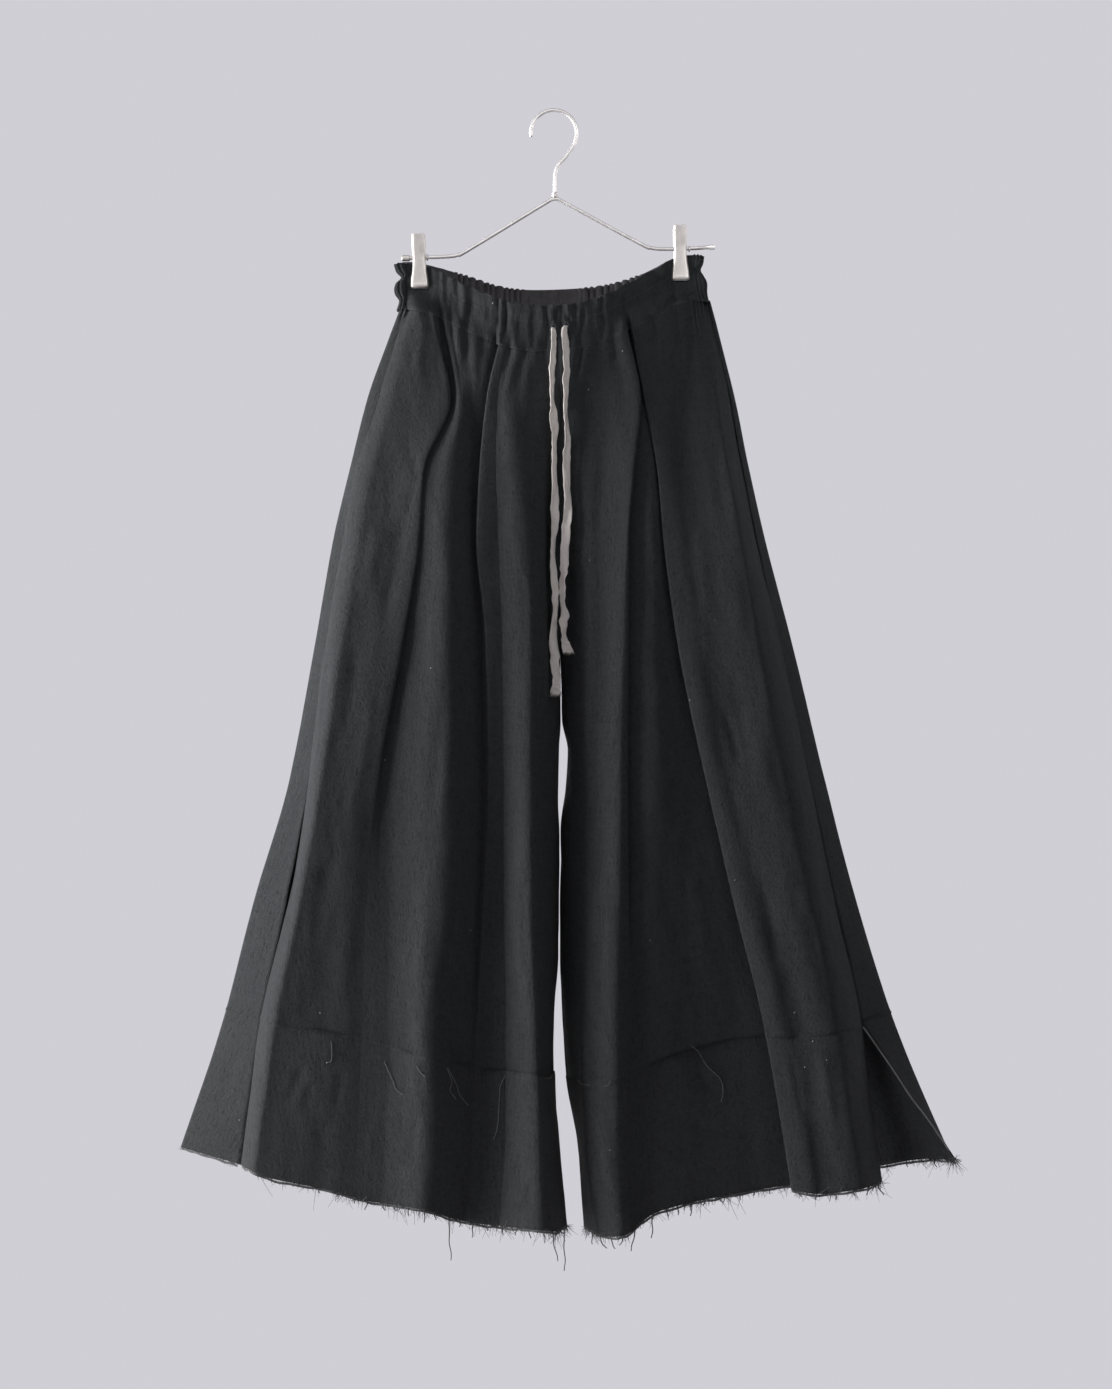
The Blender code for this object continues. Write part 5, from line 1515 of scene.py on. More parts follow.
# %% [markdown]
# ## The legs and the hem bands
# The band starts a little above the seam and lies under the leg panel, as a lapped seam does. The
# panel's last few millimetres stand out over it, and the band's top lies in. Its lower edge is left
# raw and its side ends are open as slits. The band is cut from another part of the linen, so its
# weave doesn't run on from the leg.

# %% Legs and hem bands
LAP_OUT, LAP_DEEP = 0.75, 5.0
BAND_TUCK = 0.006
BAND_IN, BAND_IN_DEEP = -0.5, 4.0
BAND_CLOTH_STEP, BAND_CLOTH_DOWN = 0.013, 0.8


def make_leg(panel, at, tight, seed):
    """A leg panel, from under the waistband to the band seam. Returns its points and area."""
    grid = panel_grid(panel, np.linspace(0, 1, panel.rows), at)
    points, places = finish_surface(grid, panel, tight, seed, True)
    above = grid[:, -1:, 1] - grid[:, :, 1]
    lap = LAP_OUT * MM * (1 - ease(0, LAP_DEEP, above))
    points += outward(points, panel.back) * lap[..., None]
    area = make_cloth(f"panel_{panel.name}", points, places, panel, charcoal_linen,
                      f"leg_{panel.name}")
    return points, area


def make_band(panel, at, tight, seed, number):
    """A hem band, from under the leg panel to the raw edge. Returns its points and area."""
    parts = np.concatenate([[1 - BAND_TUCK], np.linspace(1, 2, panel.band_rows)])
    grid = panel_grid(panel, parts, at)
    points, places = finish_surface(grid, panel, tight, seed, False)
    places = places + np.array([BAND_CLOTH_STEP * number, BAND_CLOTH_DOWN])
    inward = BAND_IN * MM * (1 - ease(0, BAND_IN_DEEP, grid[:, :, 1] - grid[:, :1, 1]))
    points += outward(points, panel.back) * inward[..., None]
    area = make_cloth(f"band_{panel.name}", points, places, panel, charcoal_band,
                      f"hem_{panel.name}")
    return points, area


legs, bands = {}, {}
for number, panel in enumerate(PANELS):
    at, tight = column_places(panel, panel.columns)
    seed = PANEL_SEED + PANEL_SEED_STEP * number
    legs[panel.name], leg_area = make_leg(panel, at, tight, seed)
    bands[panel.name], band_area = make_band(panel, at, tight, seed, number)
    rows = (legs[panel.name][:, 2], legs[panel.name][:, -3], bands[panel.name][:, -2])
    print(panel.name, "widths m waist, seam, hem:",
          [round(float(walked(row)[-1]), 3) for row in rows],
          "areas:", leg_area, band_area)

# %% [markdown]
# ## The gathered waistband
# The waist is a casing: cloth folded over and stitched down in two rows. The channel between the
# rows holds the elastic and the drawstring, and the cloth above the upper row stands up as a
# frill. First come the curves that run along the band: how its gathers are counted, and where its
# line, its two depths and its top edge are.

# %% Curves along the waistband
BAND_COLUMNS = 340
BAND_PARTS = (0, 0.012, 0.03, 0.06, 0.1, 0.14, 0.18, 0.22, 0.255, 0.285, 0.31, 0.33, 0.345, 0.353,
              0.36, 0.367, 0.375, 0.39, 0.41, 0.44, 0.475, 0.51, 0.55, 0.59, 0.63, 0.67, 0.71,
              0.75, 0.79, 0.83, 0.865, 0.9, 0.93, 0.96, 0.98, 0.993, 1.0)


def waist_curves(back, columns):
    """Gather count, place across, top and foot depths and top edge, along one half of the band."""
    side = "back" if back else "front"
    at = np.linspace(0, len(WAIST_STATIONS) - 2, WAIST_CURVE_STEPS * len(WAIST_STATIONS))
    weights = sheet_weights(len(WAIST_STATIONS), at)
    lines = [weights @ np.array([getattr(row, field) for row in WAIST_STATIONS], float)
             for field in ("across", f"{side}_top", f"{side}_foot", f"{side}_edge")]
    along = np.concatenate(([0], np.cumsum(np.hypot(np.diff(lines[0]), np.diff(lines[2])))))
    gathers = GATHERS_BACK if back else GATHERS_FRONT
    turns = np.linspace(0, len(gathers) - 1, columns)
    places = np.interp(turns, np.arange(len(gathers)), gathers)
    stretch = np.interp(places, (places[0], places[-1]), (along[0], along[-1]))
    return turns, *(np.interp(stretch, along, line) for line in lines)


print("points on each half of the band:", BAND_COLUMNS, "by", len(BAND_PARTS))

# %% [markdown]
# ## Where the band is flat or finely gathered
# Under the clips the band is held flat. Inside the back, near the middle, the elastic draws close,
# fine gathers in two zones, and leaves the cloth beside the middle seam without them.

# %% Clips and close gathers
CLOSE_ZONES = ((455, 524), (582, 640))
ZONE_BEFORE, ZONE_AFTER = 5, 4
CLOSE_PERIOD = 6.2
CLOSE_WANDER, WANDER_WIDE, WANDER_SEED = 0.4, 9.0, 7


def held_flat(across):
    """1 where the band is free, and 0 where a clip holds it flat."""
    free = np.ones(len(across))
    for low, high in CLIP_SPANS:
        free *= 1 - ease(low - CLIP_EASE, low, across) * (1 - ease(high, high + CLIP_EASE, across))
    return free


def close_gathers(across):
    """The close, fine gathers inside the back, only in their two zones."""
    zone = sum(ease(low - ZONE_BEFORE, low + ZONE_AFTER, across)
               * (1 - ease(high - ZONE_BEFORE, high + ZONE_AFTER, across))
               for low, high in CLOSE_ZONES)
    wander = CLOSE_WANDER * patches(across, across * 0, WANDER_WIDE, 1.0, WANDER_SEED)
    return zone * gather_wave(across / CLOSE_PERIOD + wander)


print("zones of close gathers:", CLOSE_ZONES)

# %% [markdown]
# ## Gathers of the waistband
# Elastic draws cloth into rounded crests with sharp valleys between them. They lean, they aren't
# equally high, and finer ones lie on them. Near the stitches the cloth puckers, and the upper row
# draws a groove. The two ends of the band are drawn right in.

# %% Gather shapes
GATHER_LEAN = 0.5
UNEVEN_LEAST, UNEVEN_MORE = 0.3, 1.1
FINE_GATHER = 0.75
PUCKER_HIGH, PUCKER_WIDE, FOOT_PUCKER_WIDE = 0.45, 0.09, 0.12
STITCH_PART = 0.36
STITCH_DRAW, STITCH_WIDE = 0.12, 0.02
# How many random patches there are to each gather, and how many down the band.
UNEVEN_PATCHES, LEAN_PATCHES = (1.3, 1.6), (0.9, 2.2)
FINE_PATCHES, PUCKER_PATCHES = (3.1, 3), (8.5, 4)


def by_gather(turns, part, counts, seed):
    """Random values in patches, counted by the gather and down the band."""
    return patches(turns * counts[0], turns * 0 + part * counts[1], 1.0, 1.0, seed)


def band_value(field, part):
    """A value of the band's table at a part of its depth."""
    return smooth([row.part for row in WAISTBAND_ROWS],
                  [getattr(row, field) for row in WAISTBAND_ROWS], part)


def bell(off, wide):
    """1 in the middle, and dying away to both sides."""
    return np.exp(-((off / wide) ** 2))


def main_gathers(turns, part, ends, seed):
    """The height of the band's own gathers at a part of its depth."""
    uneven = UNEVEN_LEAST + UNEVEN_MORE * (0.5 + by_gather(turns, part, UNEVEN_PATCHES, seed + 2))
    leaning = turns + GATHER_LEAN * by_gather(turns, part, LEAN_PATCHES, seed + 3)
    wave = gather_wave(leaning) * ends - (1 - ends)
    return band_value("gather", part) * uneven * wave


def small_gathers(turns, part, ends, seed):
    """Fine gathers, puckers by the stitches, and the groove that the upper row draws."""
    stitched = bell(part - STITCH_PART, PUCKER_WIDE) + bell(part - 1, FOOT_PUCKER_WIDE)
    fine = by_gather(turns, part, FINE_PATCHES, seed)
    pucker = by_gather(turns, part, PUCKER_PATCHES, seed + 1)
    groove = STITCH_DRAW * bell(part - STITCH_PART, STITCH_WIDE)
    return (FINE_GATHER * fine + PUCKER_HIGH * stitched * pucker - groove) * ends


print("gathers of the front and back:", len(GATHERS_FRONT) - 1, len(GATHERS_BACK) - 1)

# %% [markdown]
# ## The surface of the waistband
# At each part of its depth the band is a line across, moved out along its own normal by the
# gathers. Its ends bulge and draw in, its top edge is scalloped, and the back has a groove at the
# middle seam. Front and back meet at the two ends.

# %% Waistband surface
MIDDLE_PUFF, PUFF_ENDS = 0.3, 26.0
CLOSE_GATHER, CLOSE_FADE = 2.1, (0.45, 0.8)
BACK_SEAM = 559.0
SEAM_GROOVE, SEAM_GROOVE_WIDE, SEAM_GROOVE_FADE = 1.6, 0.9, (0.3, 0.6)
SCALLOP, SCALLOP_DEEP = 0.9, 0.12


def end_shift(across, part):
    """How far the band's two ends bulge out or draw in at a part of its depth."""
    right = 1 - ease(0, END_REACH, across[-1] - across)
    left = 1 - ease(0, END_REACH, across - across[0])
    return right * smooth(END_PARTS, RIGHT_END, part) - left * smooth(END_PARTS, LEFT_END, part)


def puffed(across, part, held):
    """How far the cloth puffs out at a part of its depth: most near the ends, least at a clip."""
    near_end = np.minimum(across - across[0], across[-1] - across)
    puff = band_value("puff", part) * (1 - (1 - MIDDLE_PUFF) * ease(0, PUFF_ENDS, near_end))
    return puff * (CLIP_PUFF + (1 - CLIP_PUFF) * held)


def back_details(across, part, close):
    """The back's close gathers and the groove of its middle seam. Both fade down the band."""
    groove = SEAM_GROOVE * bell(across - BACK_SEAM, SEAM_GROOVE_WIDE)
    return (groove * (1 - ease(*SEAM_GROOVE_FADE, part))
            - CLOSE_GATHER * close * (1 - ease(*CLOSE_FADE, part)))


def waistband_grid(back, parts, columns, seed):
    """Drawing points of the front or back waistband, from its left end to its right."""
    out = 1.0 if back else -1.0
    turns, across, top, foot, edge = waist_curves(back, columns)
    held = held_flat(across)
    close = close_gathers(across)
    ends = ease(0, 1, turns) * (1 - ease(turns[-1] - 1, turns[-1], turns))
    scallop = SCALLOP * (close if back else gather_wave(turns) * held)
    grid = np.zeros((len(across), len(parts), 3))
    for j, part in enumerate(parts):
        depth = top + (foot - top) * ease(CLIP_GRIP, 1.0, part)
        slope_across, slope_depth = np.gradient(across), np.gradient(depth)
        size = np.hypot(slope_across, slope_depth)
        gathers = main_gathers(turns, part, ends, seed) + small_gathers(turns, part, ends, seed)
        rise = gathers * held + puffed(across, part, held)
        if back:
            rise += back_details(across, part, close)
        spread = WAIST_RIGHT_SPREAD * part**2 * ease(MIDDLE_ACROSS, GATHERS_FRONT[-1], across)
        line = across + spread + end_shift(across, part)
        grid[:, j, 0] = line - out * slope_depth / size * rise
        grid[:, j, 1] = edge + WAISTBAND_DEEP * part - scallop * (1 - ease(0, SCALLOP_DEEP, part))
        grid[:, j, 2] = depth + out * slope_across / size * rise
        grid[0, j, (0, 2)] = line[0], 0.0
        grid[-1, j, (0, 2)] = line[-1], 0.0
    grid[:, -1, 1] = waist_foot(grid[:, -1, 0], back)
    return grid


print("scallop mm:", SCALLOP, "seam groove mm:", SEAM_GROOVE)

# %% [markdown]
# ## Laying the band on the legs
# The band's foot has to lie on the gathered tops of the leg panels, wherever they stand. So the
# outermost cloth of the panels is measured all along the seam, and the lower half of the band is
# moved to it.

# %% Waistband on the legs
REACH = 0.7
FINE_STEPS = 4
END_QUIET = 12
FOOT_EVEN = 3
FOOT_FROM = 0.5


def outermost(points, back, places):
    """The depth of the outermost cloth near each place across, or infinite where there is none."""
    fine = np.linspace(0, len(points) - 1, FINE_STEPS * len(points))
    across, depth = (np.interp(fine, np.arange(len(points)), points[:, k]) for k in (0, 2))
    near = np.abs(across[None, :] - places[:, None]) < REACH
    if back:
        return np.where(near, depth[None, :], -np.inf).max(1)
    return np.where(near, depth[None, :], np.inf).min(1)


def lay_on_legs(grid, back, names):
    """Moves the lower part of the band so that its foot lies on the leg panels."""
    across = grid[:, -1, 0]
    ledge = to_grid(np.concatenate([legs[panel][:, 1] for panel in names]))
    lies_on = outermost(ledge, back, across)
    known = np.isfinite(lies_on)
    shift = np.interp(across, across[known], lies_on[known]) - grid[:, -1, 2]
    shift = shift * ease(0, END_QUIET, np.minimum(across - across[0], across[-1] - across))
    padded = np.pad(shift, FOOT_EVEN // 2, "edge")
    shift = np.convolve(padded, np.ones(FOOT_EVEN) / FOOT_EVEN, "valid")
    grid[:, :, 2] += shift[:, None] * ease(FOOT_FROM, 1.0, np.array(BAND_PARTS))


print("rows below the band's middle:", sum(part > FOOT_FROM for part in BAND_PARTS))

# %% [markdown]
# ## The two halves of the waistband
# The front gets its listed creases, which fade out just above the seam. The back shows its inside
# above the front edge, so the shell's inner faces get the lining colour: the cloth's purplish wrong
# side, painted paler as painted light for the room light that reaches inside the band.

# %% Waistbands
WAIST_SEED = 300
CREASES_END = 0.9
CASING_SHELL = 1.1
BACK_CLOTH_ACROSS, WAIST_CLOTH_DOWN = 0.3, 2.0


def make_waistband(name, back, names):
    """The front or back half of the waistband. Returns its points."""
    grid = waistband_grid(back, BAND_PARTS, BAND_COLUMNS, WAIST_SEED + back)
    lay_on_legs(grid, back, names)
    if not back:
        lifted = crease_height(grid, CREASES_BAND_FRONT, True)
        grid[:, :, 2] -= lifted * (1 - ease(CREASES_END, 1.0, np.array(BAND_PARTS)))
    points = to_world(grid)
    places = cloth_places(points).reshape(-1, 2) + (BACK_CLOTH_ACROSS * back, WAIST_CLOTH_DOWN)
    band = make_piece(f"waistband_{name}_cloth", points, grid_faces(*points.shape[:2], back),
                      places, charcoal_linen, "linen_black", (f"waistband_{name}",))
    add_shell(band, CASING_SHELL)
    if back:
        # The inner faces take the lining colour, painted paler as painted light for the room light
        # inside the band.
        band.data.materials.append(lining_with_painted_light)
        band.modifiers["shell"].material_offset = 1
    print("waistband", name, "along the edge m:", round(walked(points[:, 0])[-1], 3),
          "area:", round(sheet_area(points), 4))
    return points


waistbands = {"front": make_waistband("front", False, ("front_right", "front_left")),
              "back": make_waistband("back", True, ("back_right", "back_left"))}

# %% [markdown]
# ## Stitching
# Two rows of lockstitch hold the casing. A stitch is a short bent tube that dips into the cloth at
# both ends. The rows follow the finished cloth, gather by gather, so each stitch turns with the
# surface that it holds. A dashed texture would be lighter, but flat, and it would slide over folds.

# %% Seam stitches
STITCH_LONG = 2.4
STITCH_GAP = 0.7
STITCH_BOW = (-0.25, 0.12, 0.2, 0.12, -0.25)
STITCH_TAPER = (0.6, 1, 1, 1, 0.6)
THREAD_RADIUS = 0.2
STITCH_ROWS = (BAND_PARTS.index(STITCH_PART), len(BAND_PARTS) - 3)


def seam_stitches(line, normals):
    """Bent stitches along a line on the cloth, each one rising a little out of it."""
    long = walked(line) / MM
    starts = np.arange(STITCH_GAP, long[-1] - STITCH_LONG, STITCH_LONG + STITCH_GAP)
    at = starts[:, None] + np.linspace(0, STITCH_LONG, len(STITCH_BOW))
    rise = np.array(STITCH_BOW) * MM
    spots = np.stack([np.interp(at, long, line[:, k]) for k in range(3)], -1)
    ways = np.stack([np.interp(at, long, normals[:, k]) for k in range(3)], -1)
    return spots + ways * (rise + CASING_SHELL / 2 * MM)[None, :, None]


rows = []
for name, back in (("front", False), ("back", True)):
    points = waistbands[name]
    normals = outward(points, back)
    rows += [seam_stitches(points[:, part], normals[:, part]) for part in STITCH_ROWS]
stitches = np.concatenate(rows)
make_tubes("waist_stitches", stitches, np.array(STITCH_TAPER) * THREAD_RADIUS * MM, 4,
           (0.3, 0.2, 1.0), sewing_thread, "linen_black")
print("stitches:", len(stitches))

# %% [markdown]
# ## Buttonholes
# The drawstring comes out through two small buttonholes, each edged with close satin stitches that
# run out from the opening like spokes. To place them, the nearest cloth is looked up for each place
# in the drawing, and where it lies in layers the foremost layer counts.

# %% Buttonholes
BUTTONHOLES = ((553.6, 327.5), (566.2, 325.5))
BUTTONHOLE_SIZE = (2.4, 3.6)
SATIN_STITCHES = 26
SATIN_REACH = (0.62, 1.12)
SATIN_LIFT = (0.75, 1.05, 1.05, 0.6)
SATIN_RADIUS = 0.28
LOOK_WITHIN, LOOK_BEYOND = 2.5, 0.5
TO_FRONT = np.array([0, -1.0, 0])


def nearest(sheets, across, down):
    """The front cloth at each drawing place, with its direction outwards."""
    spots = np.concatenate([to_grid(sheet).reshape(-1, 3) for sheet in sheets])
    ways = np.concatenate([outward(sheet, False).reshape(-1, 3) for sheet in sheets])
    found = []
    for x, y in zip(across, down):
        far = np.hypot(spots[:, 0] - x, spots[:, 1] - y)
        close = np.flatnonzero(far < max(LOOK_WITHIN, far.min() + LOOK_BEYOND))
        best = close[spots[close, 2].argmin()]
        found.append((x, y, spots[best, 2], *ways[best]))
    found = np.array(found)
    return to_world(found[:, :3]), found[:, 3:]


def satin_edge(across, down):
    """The satin stitches round one buttonhole."""
    middle = nearest([waistbands["front"]], [across], [down])[0][0]
    steps = np.linspace(*SATIN_REACH, len(SATIN_LIFT))[:, None]
    lift = np.array(SATIN_LIFT)[:, None] * MM
    edge = []
    for turn in np.linspace(0, 2 * math.pi, SATIN_STITCHES, endpoint=False):
        spoke = np.array([math.cos(turn) * BUTTONHOLE_SIZE[0], 0,
                          math.sin(turn) * BUTTONHOLE_SIZE[1]]) * MM
        edge.append(middle + spoke * steps + TO_FRONT * lift)
    return edge


edging = [stitch for place in BUTTONHOLES for stitch in satin_edge(*place)]
make_tubes("buttonhole_stitches", np.array(edging), SATIN_RADIUS * MM, 4, (0.1, 1.0, 0.2),
           sewing_thread, "linen_black")
print("buttonhole stitches:", len(edging))

# %% [markdown]
# ## Raw hems: the long threads
# The bands are left unhemmed, so here and there a whole lengthwise yarn has pulled out and hangs.
# Each row says where it hangs, how long it is and how far it drifts sideways. These are listed one
# by one, because a few long ones decide how worn a hem looks.

# %% Hanging threads
Thread = collections.namedtuple("Thread", "across long drift")
THREADS = {
    "front_right": rows_of(
        Thread,
        (276, 4, 1), (301, 3, -1), (322, 5, 1), (341, 4, -1), (357, 6, 2), (371, 9, -2),
        (386, 7, 1), (398, 6, 2), (411, 9, -1), (426, 12, 1), (438, 7, 2), (451, 42, 2),
        (463, 6, -1), (474, 14, -1), (489, 6, 1), (503, 8, 2), (517, 7, -2), (531, 9, 1),
        (545, 12, 2), (554, 29, 5), (565, 44, 1),
    ),
    "front_left": rows_of(
        Thread,
        (590, 14, 1), (598, 13, 6), (609, 12, 5), (621, 9, -2), (634, 22, -4), (650, 23, 0),
        (664, 7, 2), (677, 9, 1), (689, 13, 0), (704, 6, -1), (719, 5, 1), (735, 7, 2),
        (752, 5, -1), (768, 6, 1), (795, 5, 1), (812, 6, -1), (829, 7, 2), (846, 5, 1),
        (862, 8, -2), (876, 12, 5),
    ),
    "back_right": rows_of(
        Thread,
        (214, 4, -1), (247, 6, 1), (281, 8, -2), (318, 6, 2), (352, 12, 1), (388, 7, -1),
        (428, 16, 2), (470, 8, 1), (505, 11, -2), (534, 9, 1), (556, 13, 2),
    ),
    "back_left": rows_of(
        Thread,
        (600, 12, 1), (628, 8, -2), (657, 14, 2), (690, 7, 1), (727, 9, -1), (768, 6, 2),
        (806, 11, 1), (846, 7, -1), (884, 9, 1), (912, 6, 2), (938, 8, 2),
    ),
}
THREAD_RADII = (0.68, 0.48)
THREAD_STEPS = 14
# How far a thread swings from side to side, and over what angle: a least one, and more if long.
THREAD_WIGGLE, WIGGLE_LEAST, WIGGLE_LONG = 0.9, 4, 6
SAME_PLACE = 1.5


def thread_root(line, across, back):
    """The point of the cut edge where a thread hangs: on the foremost layer of the front."""
    start = np.abs(line[:, 0] - (across - HOOK_ACROSS) * MM).argmin()
    if back:
        return line[start]
    close = np.flatnonzero(np.abs(line[:, 0] - line[start, 0]) < SAME_PLACE * MM)
    return line[close[line[close, 1].argmin()]]


def hanging_threads(line, threads, back):
    """Long yarns that hang from the cut edge, a little wavy."""
    t = np.linspace(0, 1, THREAD_STEPS)[:, None]
    hanging = []
    for thread in threads:
        swing = np.array([thread.drift, 0, 0]) * MM * t**2
        angle = t * (WIGGLE_LEAST + thread.long / WIGGLE_LONG) + thread.across
        wiggle = THREAD_WIGGLE * MM * np.sin(angle) * t
        drop = np.array([0, 0, -1.0]) * thread.long * MM * t
        curl = np.concatenate([wiggle, 0.5 * wiggle[::-1] * t, 0 * t], 1)
        hanging.append(thread_root(line, thread.across, back) + swing + drop + curl)
    return tube_mesh(np.array(hanging), np.linspace(*THREAD_RADII, THREAD_STEPS) * MM, 4,
                     (0.2, 1.0, 0.1))


print("hanging threads:", {name: len(rows) for name, rows in THREADS.items()})

# %% [markdown]
# ## Raw hems: the short fibres
# All along the cut the ends of the lengthwise yarns stand free as a short, uneven fringe. They are
# a seeded scatter in tufts, and short where the edge is still crisp.

# %% Short fibres
FIBRES_PER_MM = 1.5
FIBRE_RADIUS = 0.3
FIBRE_TAPER = (1.0, 0.45)
FIBRE_STEPS = 4
FIBRE_SPREAD, FIBRE_SPREAD_BY_AXIS = 0.22, (1.0, 0.8, 0.3)
FIBRE_LONG, TUFT_LONG, STRAY_LONG = 1.0, 5.0, 1.2
TUFT_WIDE, TUFT_SHARP = 9.0, 1.6
FIBRE_BEND = 0.75
ROOT_SCATTER, ROOT_DEEP = 0.4, 0.6
CRISP, CRISP_SHARE = (182, 262), 0.3
FIBRE_SEED, TUFT_SEED = 500, 520


def on_edge(line, at):
    """Points of the edge at those shares of its length."""
    long = walked(line)
    return np.stack([np.interp(at * long[-1], long, line[:, k]) for k in range(3)], -1)


def short_fibres(line, down, number):
    """A fringe of short fibres along a cut edge. Down is the way that the cloth points there."""
    rng = np.random.default_rng(FIBRE_SEED + number)
    long = walked(line)[-1] / MM
    many = int(long * FIBRES_PER_MM)
    at = np.sort(rng.uniform(0, 1, many))
    roots = on_edge(line, at)
    step = np.interp(at, np.linspace(0, 1, len(line)), np.arange(len(line))).astype(int)
    ways = down[step] + rng.normal(0, FIBRE_SPREAD, (many, 3)) * FIBRE_SPREAD_BY_AXIS
    tufts = 0.5 + 0.5 * patches(at * long, at * 0, TUFT_WIDE, 1.0, TUFT_SEED + number)
    lengths = (FIBRE_LONG + TUFT_LONG * tufts**TUFT_SHARP + rng.exponential(STRAY_LONG, many)) * MM
    across = roots[:, 0] / MM + HOOK_ACROSS
    crisp = (across > CRISP[0]) & (across < CRISP[1])
    lengths = np.where(crisp, lengths * CRISP_SHARE, lengths)
    bends = rng.normal(0, FIBRE_BEND, (many, 3))
    scatter = rng.uniform(-ROOT_SCATTER, ROOT_SCATTER, (many, 3)) * MM
    roots = roots + scatter - ways * ROOT_DEEP * MM
    fibres = fringe_lines(roots, ways, lengths, bends, FIBRE_STEPS)
    return tube_mesh(fibres, np.linspace(*FIBRE_TAPER, FIBRE_STEPS) * FIBRE_RADIUS * MM, 3,
                     (0.2, 1.0, 0.1))


print("short fibres to each mm:", FIBRES_PER_MM)

# %% [markdown]
# ## Raw hems: the loose rounds
# The lowest crossing yarns have worked loose too. They still run along the cut, but sag below it
# and wander to its front and back. With the fibres and the threads they make up one fringe.

# %% Loose rounds and fringes
LOOSE_ROUNDS = 3
ROUND_STEPS, ROUND_ENDS = 170, (0.01, 0.99)
ROUND_RADIUS = 0.38
ROUND_FALL, ROUND_APART, ROUND_SAG, ROUND_SIDEWAYS = 0.2, 0.8, 1.5, 0.5
SAG_WIDE, SIDEWAYS_WIDE, ROUND_PATCH, ROUND_NEXT = 14.0, 5.0, 3.0, 5
SAG_SEED, SIDEWAYS_SEED = 540, 560


def loose_rounds(line, number):
    """Crossing yarns that run along the cut edge and sag below it."""
    walk = np.linspace(*ROUND_ENDS, ROUND_STEPS)
    at = walk * (walked(line)[-1] / MM)
    rounds = []
    for k in range(LOOSE_ROUNDS):
        row = walk * 0 + k * ROUND_NEXT
        sag = ROUND_SAG * np.abs(patches(at, row, SAG_WIDE, ROUND_PATCH, SAG_SEED + number))
        sideways = patches(at, row, SIDEWAYS_WIDE, ROUND_PATCH, SIDEWAYS_SEED + number)
        base = on_edge(line, walk)
        base[:, 2] -= (ROUND_FALL + ROUND_APART * k + sag) * MM
        base[:, 1] += ROUND_SIDEWAYS * sideways * MM
        rounds.append(base)
    return tube_mesh(np.array(rounds), ROUND_RADIUS * MM, 4, (0.1, 0.2, 1.0))


def joined(meshes):
    """Several meshes as one: its points, faces and map places."""
    verts, faces, places = zip(*meshes)
    starts = np.cumsum([0] + [len(part) for part in verts[:-1]])
    faces = [part + start for part, start in zip(faces, starts)]
    return np.concatenate(verts), np.concatenate(faces), np.concatenate(places)


def make_fringe(panel, number):
    """The whole fringe of one hem band."""
    points = bands[panel.name]
    line, down = points[:, -1], points[:, -1] - points[:, -3]
    down = down / np.linalg.norm(down, axis=1, keepdims=True)
    mesh = joined((short_fibres(line, down, number), loose_rounds(line, number),
                   hanging_threads(line, THREADS[panel.name], panel.back)))
    make_piece(f"fringe_{panel.name}", *mesh, raw_yarn, "linen_black", (f"fray_{panel.name}",))
    print("fringe", panel.name, "edge mm:", round(walked(line)[-1] / MM), "points:", len(mesh[0]))


for number, panel in enumerate(PANELS):
    make_fringe(panel, number)

# %% [markdown]
# ## The edge of the open slit
# Where the side slit of the left leg stands open, the back band's cut edge has rolled over on
# itself. The roll is a thin bead along the edge, a little pale from wear and painted paler still as
# painted light for the light from behind that catches it, so it stands out against the dark inside.

# %% Slit edge
ROLL_RADIUS = 0.75
ROLL_ROWS = slice(1, -2)
roll = bands["back_left"][-1, ROLL_ROWS] + TO_FRONT * (ROLL_RADIUS * MM)
make_tubes("slit_edge_left", roll[None], ROLL_RADIUS * MM, 8, (0.2, 0.1, 1.0), rubbed_edge,
           "linen_black")
print("slit edge mm:", round(walked(roll)[-1] / MM))

# %% [markdown]
# ## Loose threads
# The seam above each band sheds a few longer yarns that lie down over the cloth. Each one's path is
# given in the drawing, and it is laid on the finished surface.

# %% Seam threads
SEAM_THREADS = (
    ((384.3, 1061), (388, 1070), (393, 1080.7), (396, 1089), (402.5, 1094.5)),
    ((416.4, 1066), (421, 1073), (425, 1076.3)),
    ((447.6, 1067.5), (456.3, 1084), (459.7, 1094.5), (468.4, 1105.8)),
    ((447, 1068), (452, 1082), (450, 1090), (456, 1099)),
    ((505.6, 1075), (501, 1084), (499.6, 1092.8), (497.9, 1124), (493.5, 1139.6)),
    ((331, 1041), (332, 1051), (331, 1061), (327, 1062.5)),
    ((553, 1074.5), (550, 1078), (545, 1078)),
    ((691.7, 1046), (698.6, 1052), (707, 1066), (719.4, 1078), (722.9, 1090), (721, 1102)),
    ((610, 1081), (608, 1085), (604, 1086)),
    ((578, 1080), (582, 1084), (590, 1085)),
)
SEAM_THREAD_STEPS = 20
SEAM_THREAD_RADIUS = 0.3
LIE_OUT, LIE_LOOSE, LOOSE_ANGLE = 0.9, 0.5, 5
front_cloth = [legs["front_right"], legs["front_left"], bands["front_right"],
               bands["front_left"], waistbands["front"]]


def laid_thread(path):
    """A thread that lies along a path on the front, and lifts off it here and there."""
    route = smooth_route(path, SEAM_THREAD_STEPS)
    spots = nearest(front_cloth, route[:, 0], route[:, 1])[0]
    angles = np.linspace(0, LOOSE_ANGLE, SEAM_THREAD_STEPS)
    off = LIE_OUT + LIE_LOOSE * np.abs(np.sin(angles))
    return spots + TO_FRONT * off[:, None] * MM


make_tubes("seam_threads", np.array([laid_thread(path) for path in SEAM_THREADS]),
           SEAM_THREAD_RADIUS * MM, 4, (0.9, 0.2, 0.3), pulled_yarn, "linen_black")
print("seam threads:", len(SEAM_THREADS))
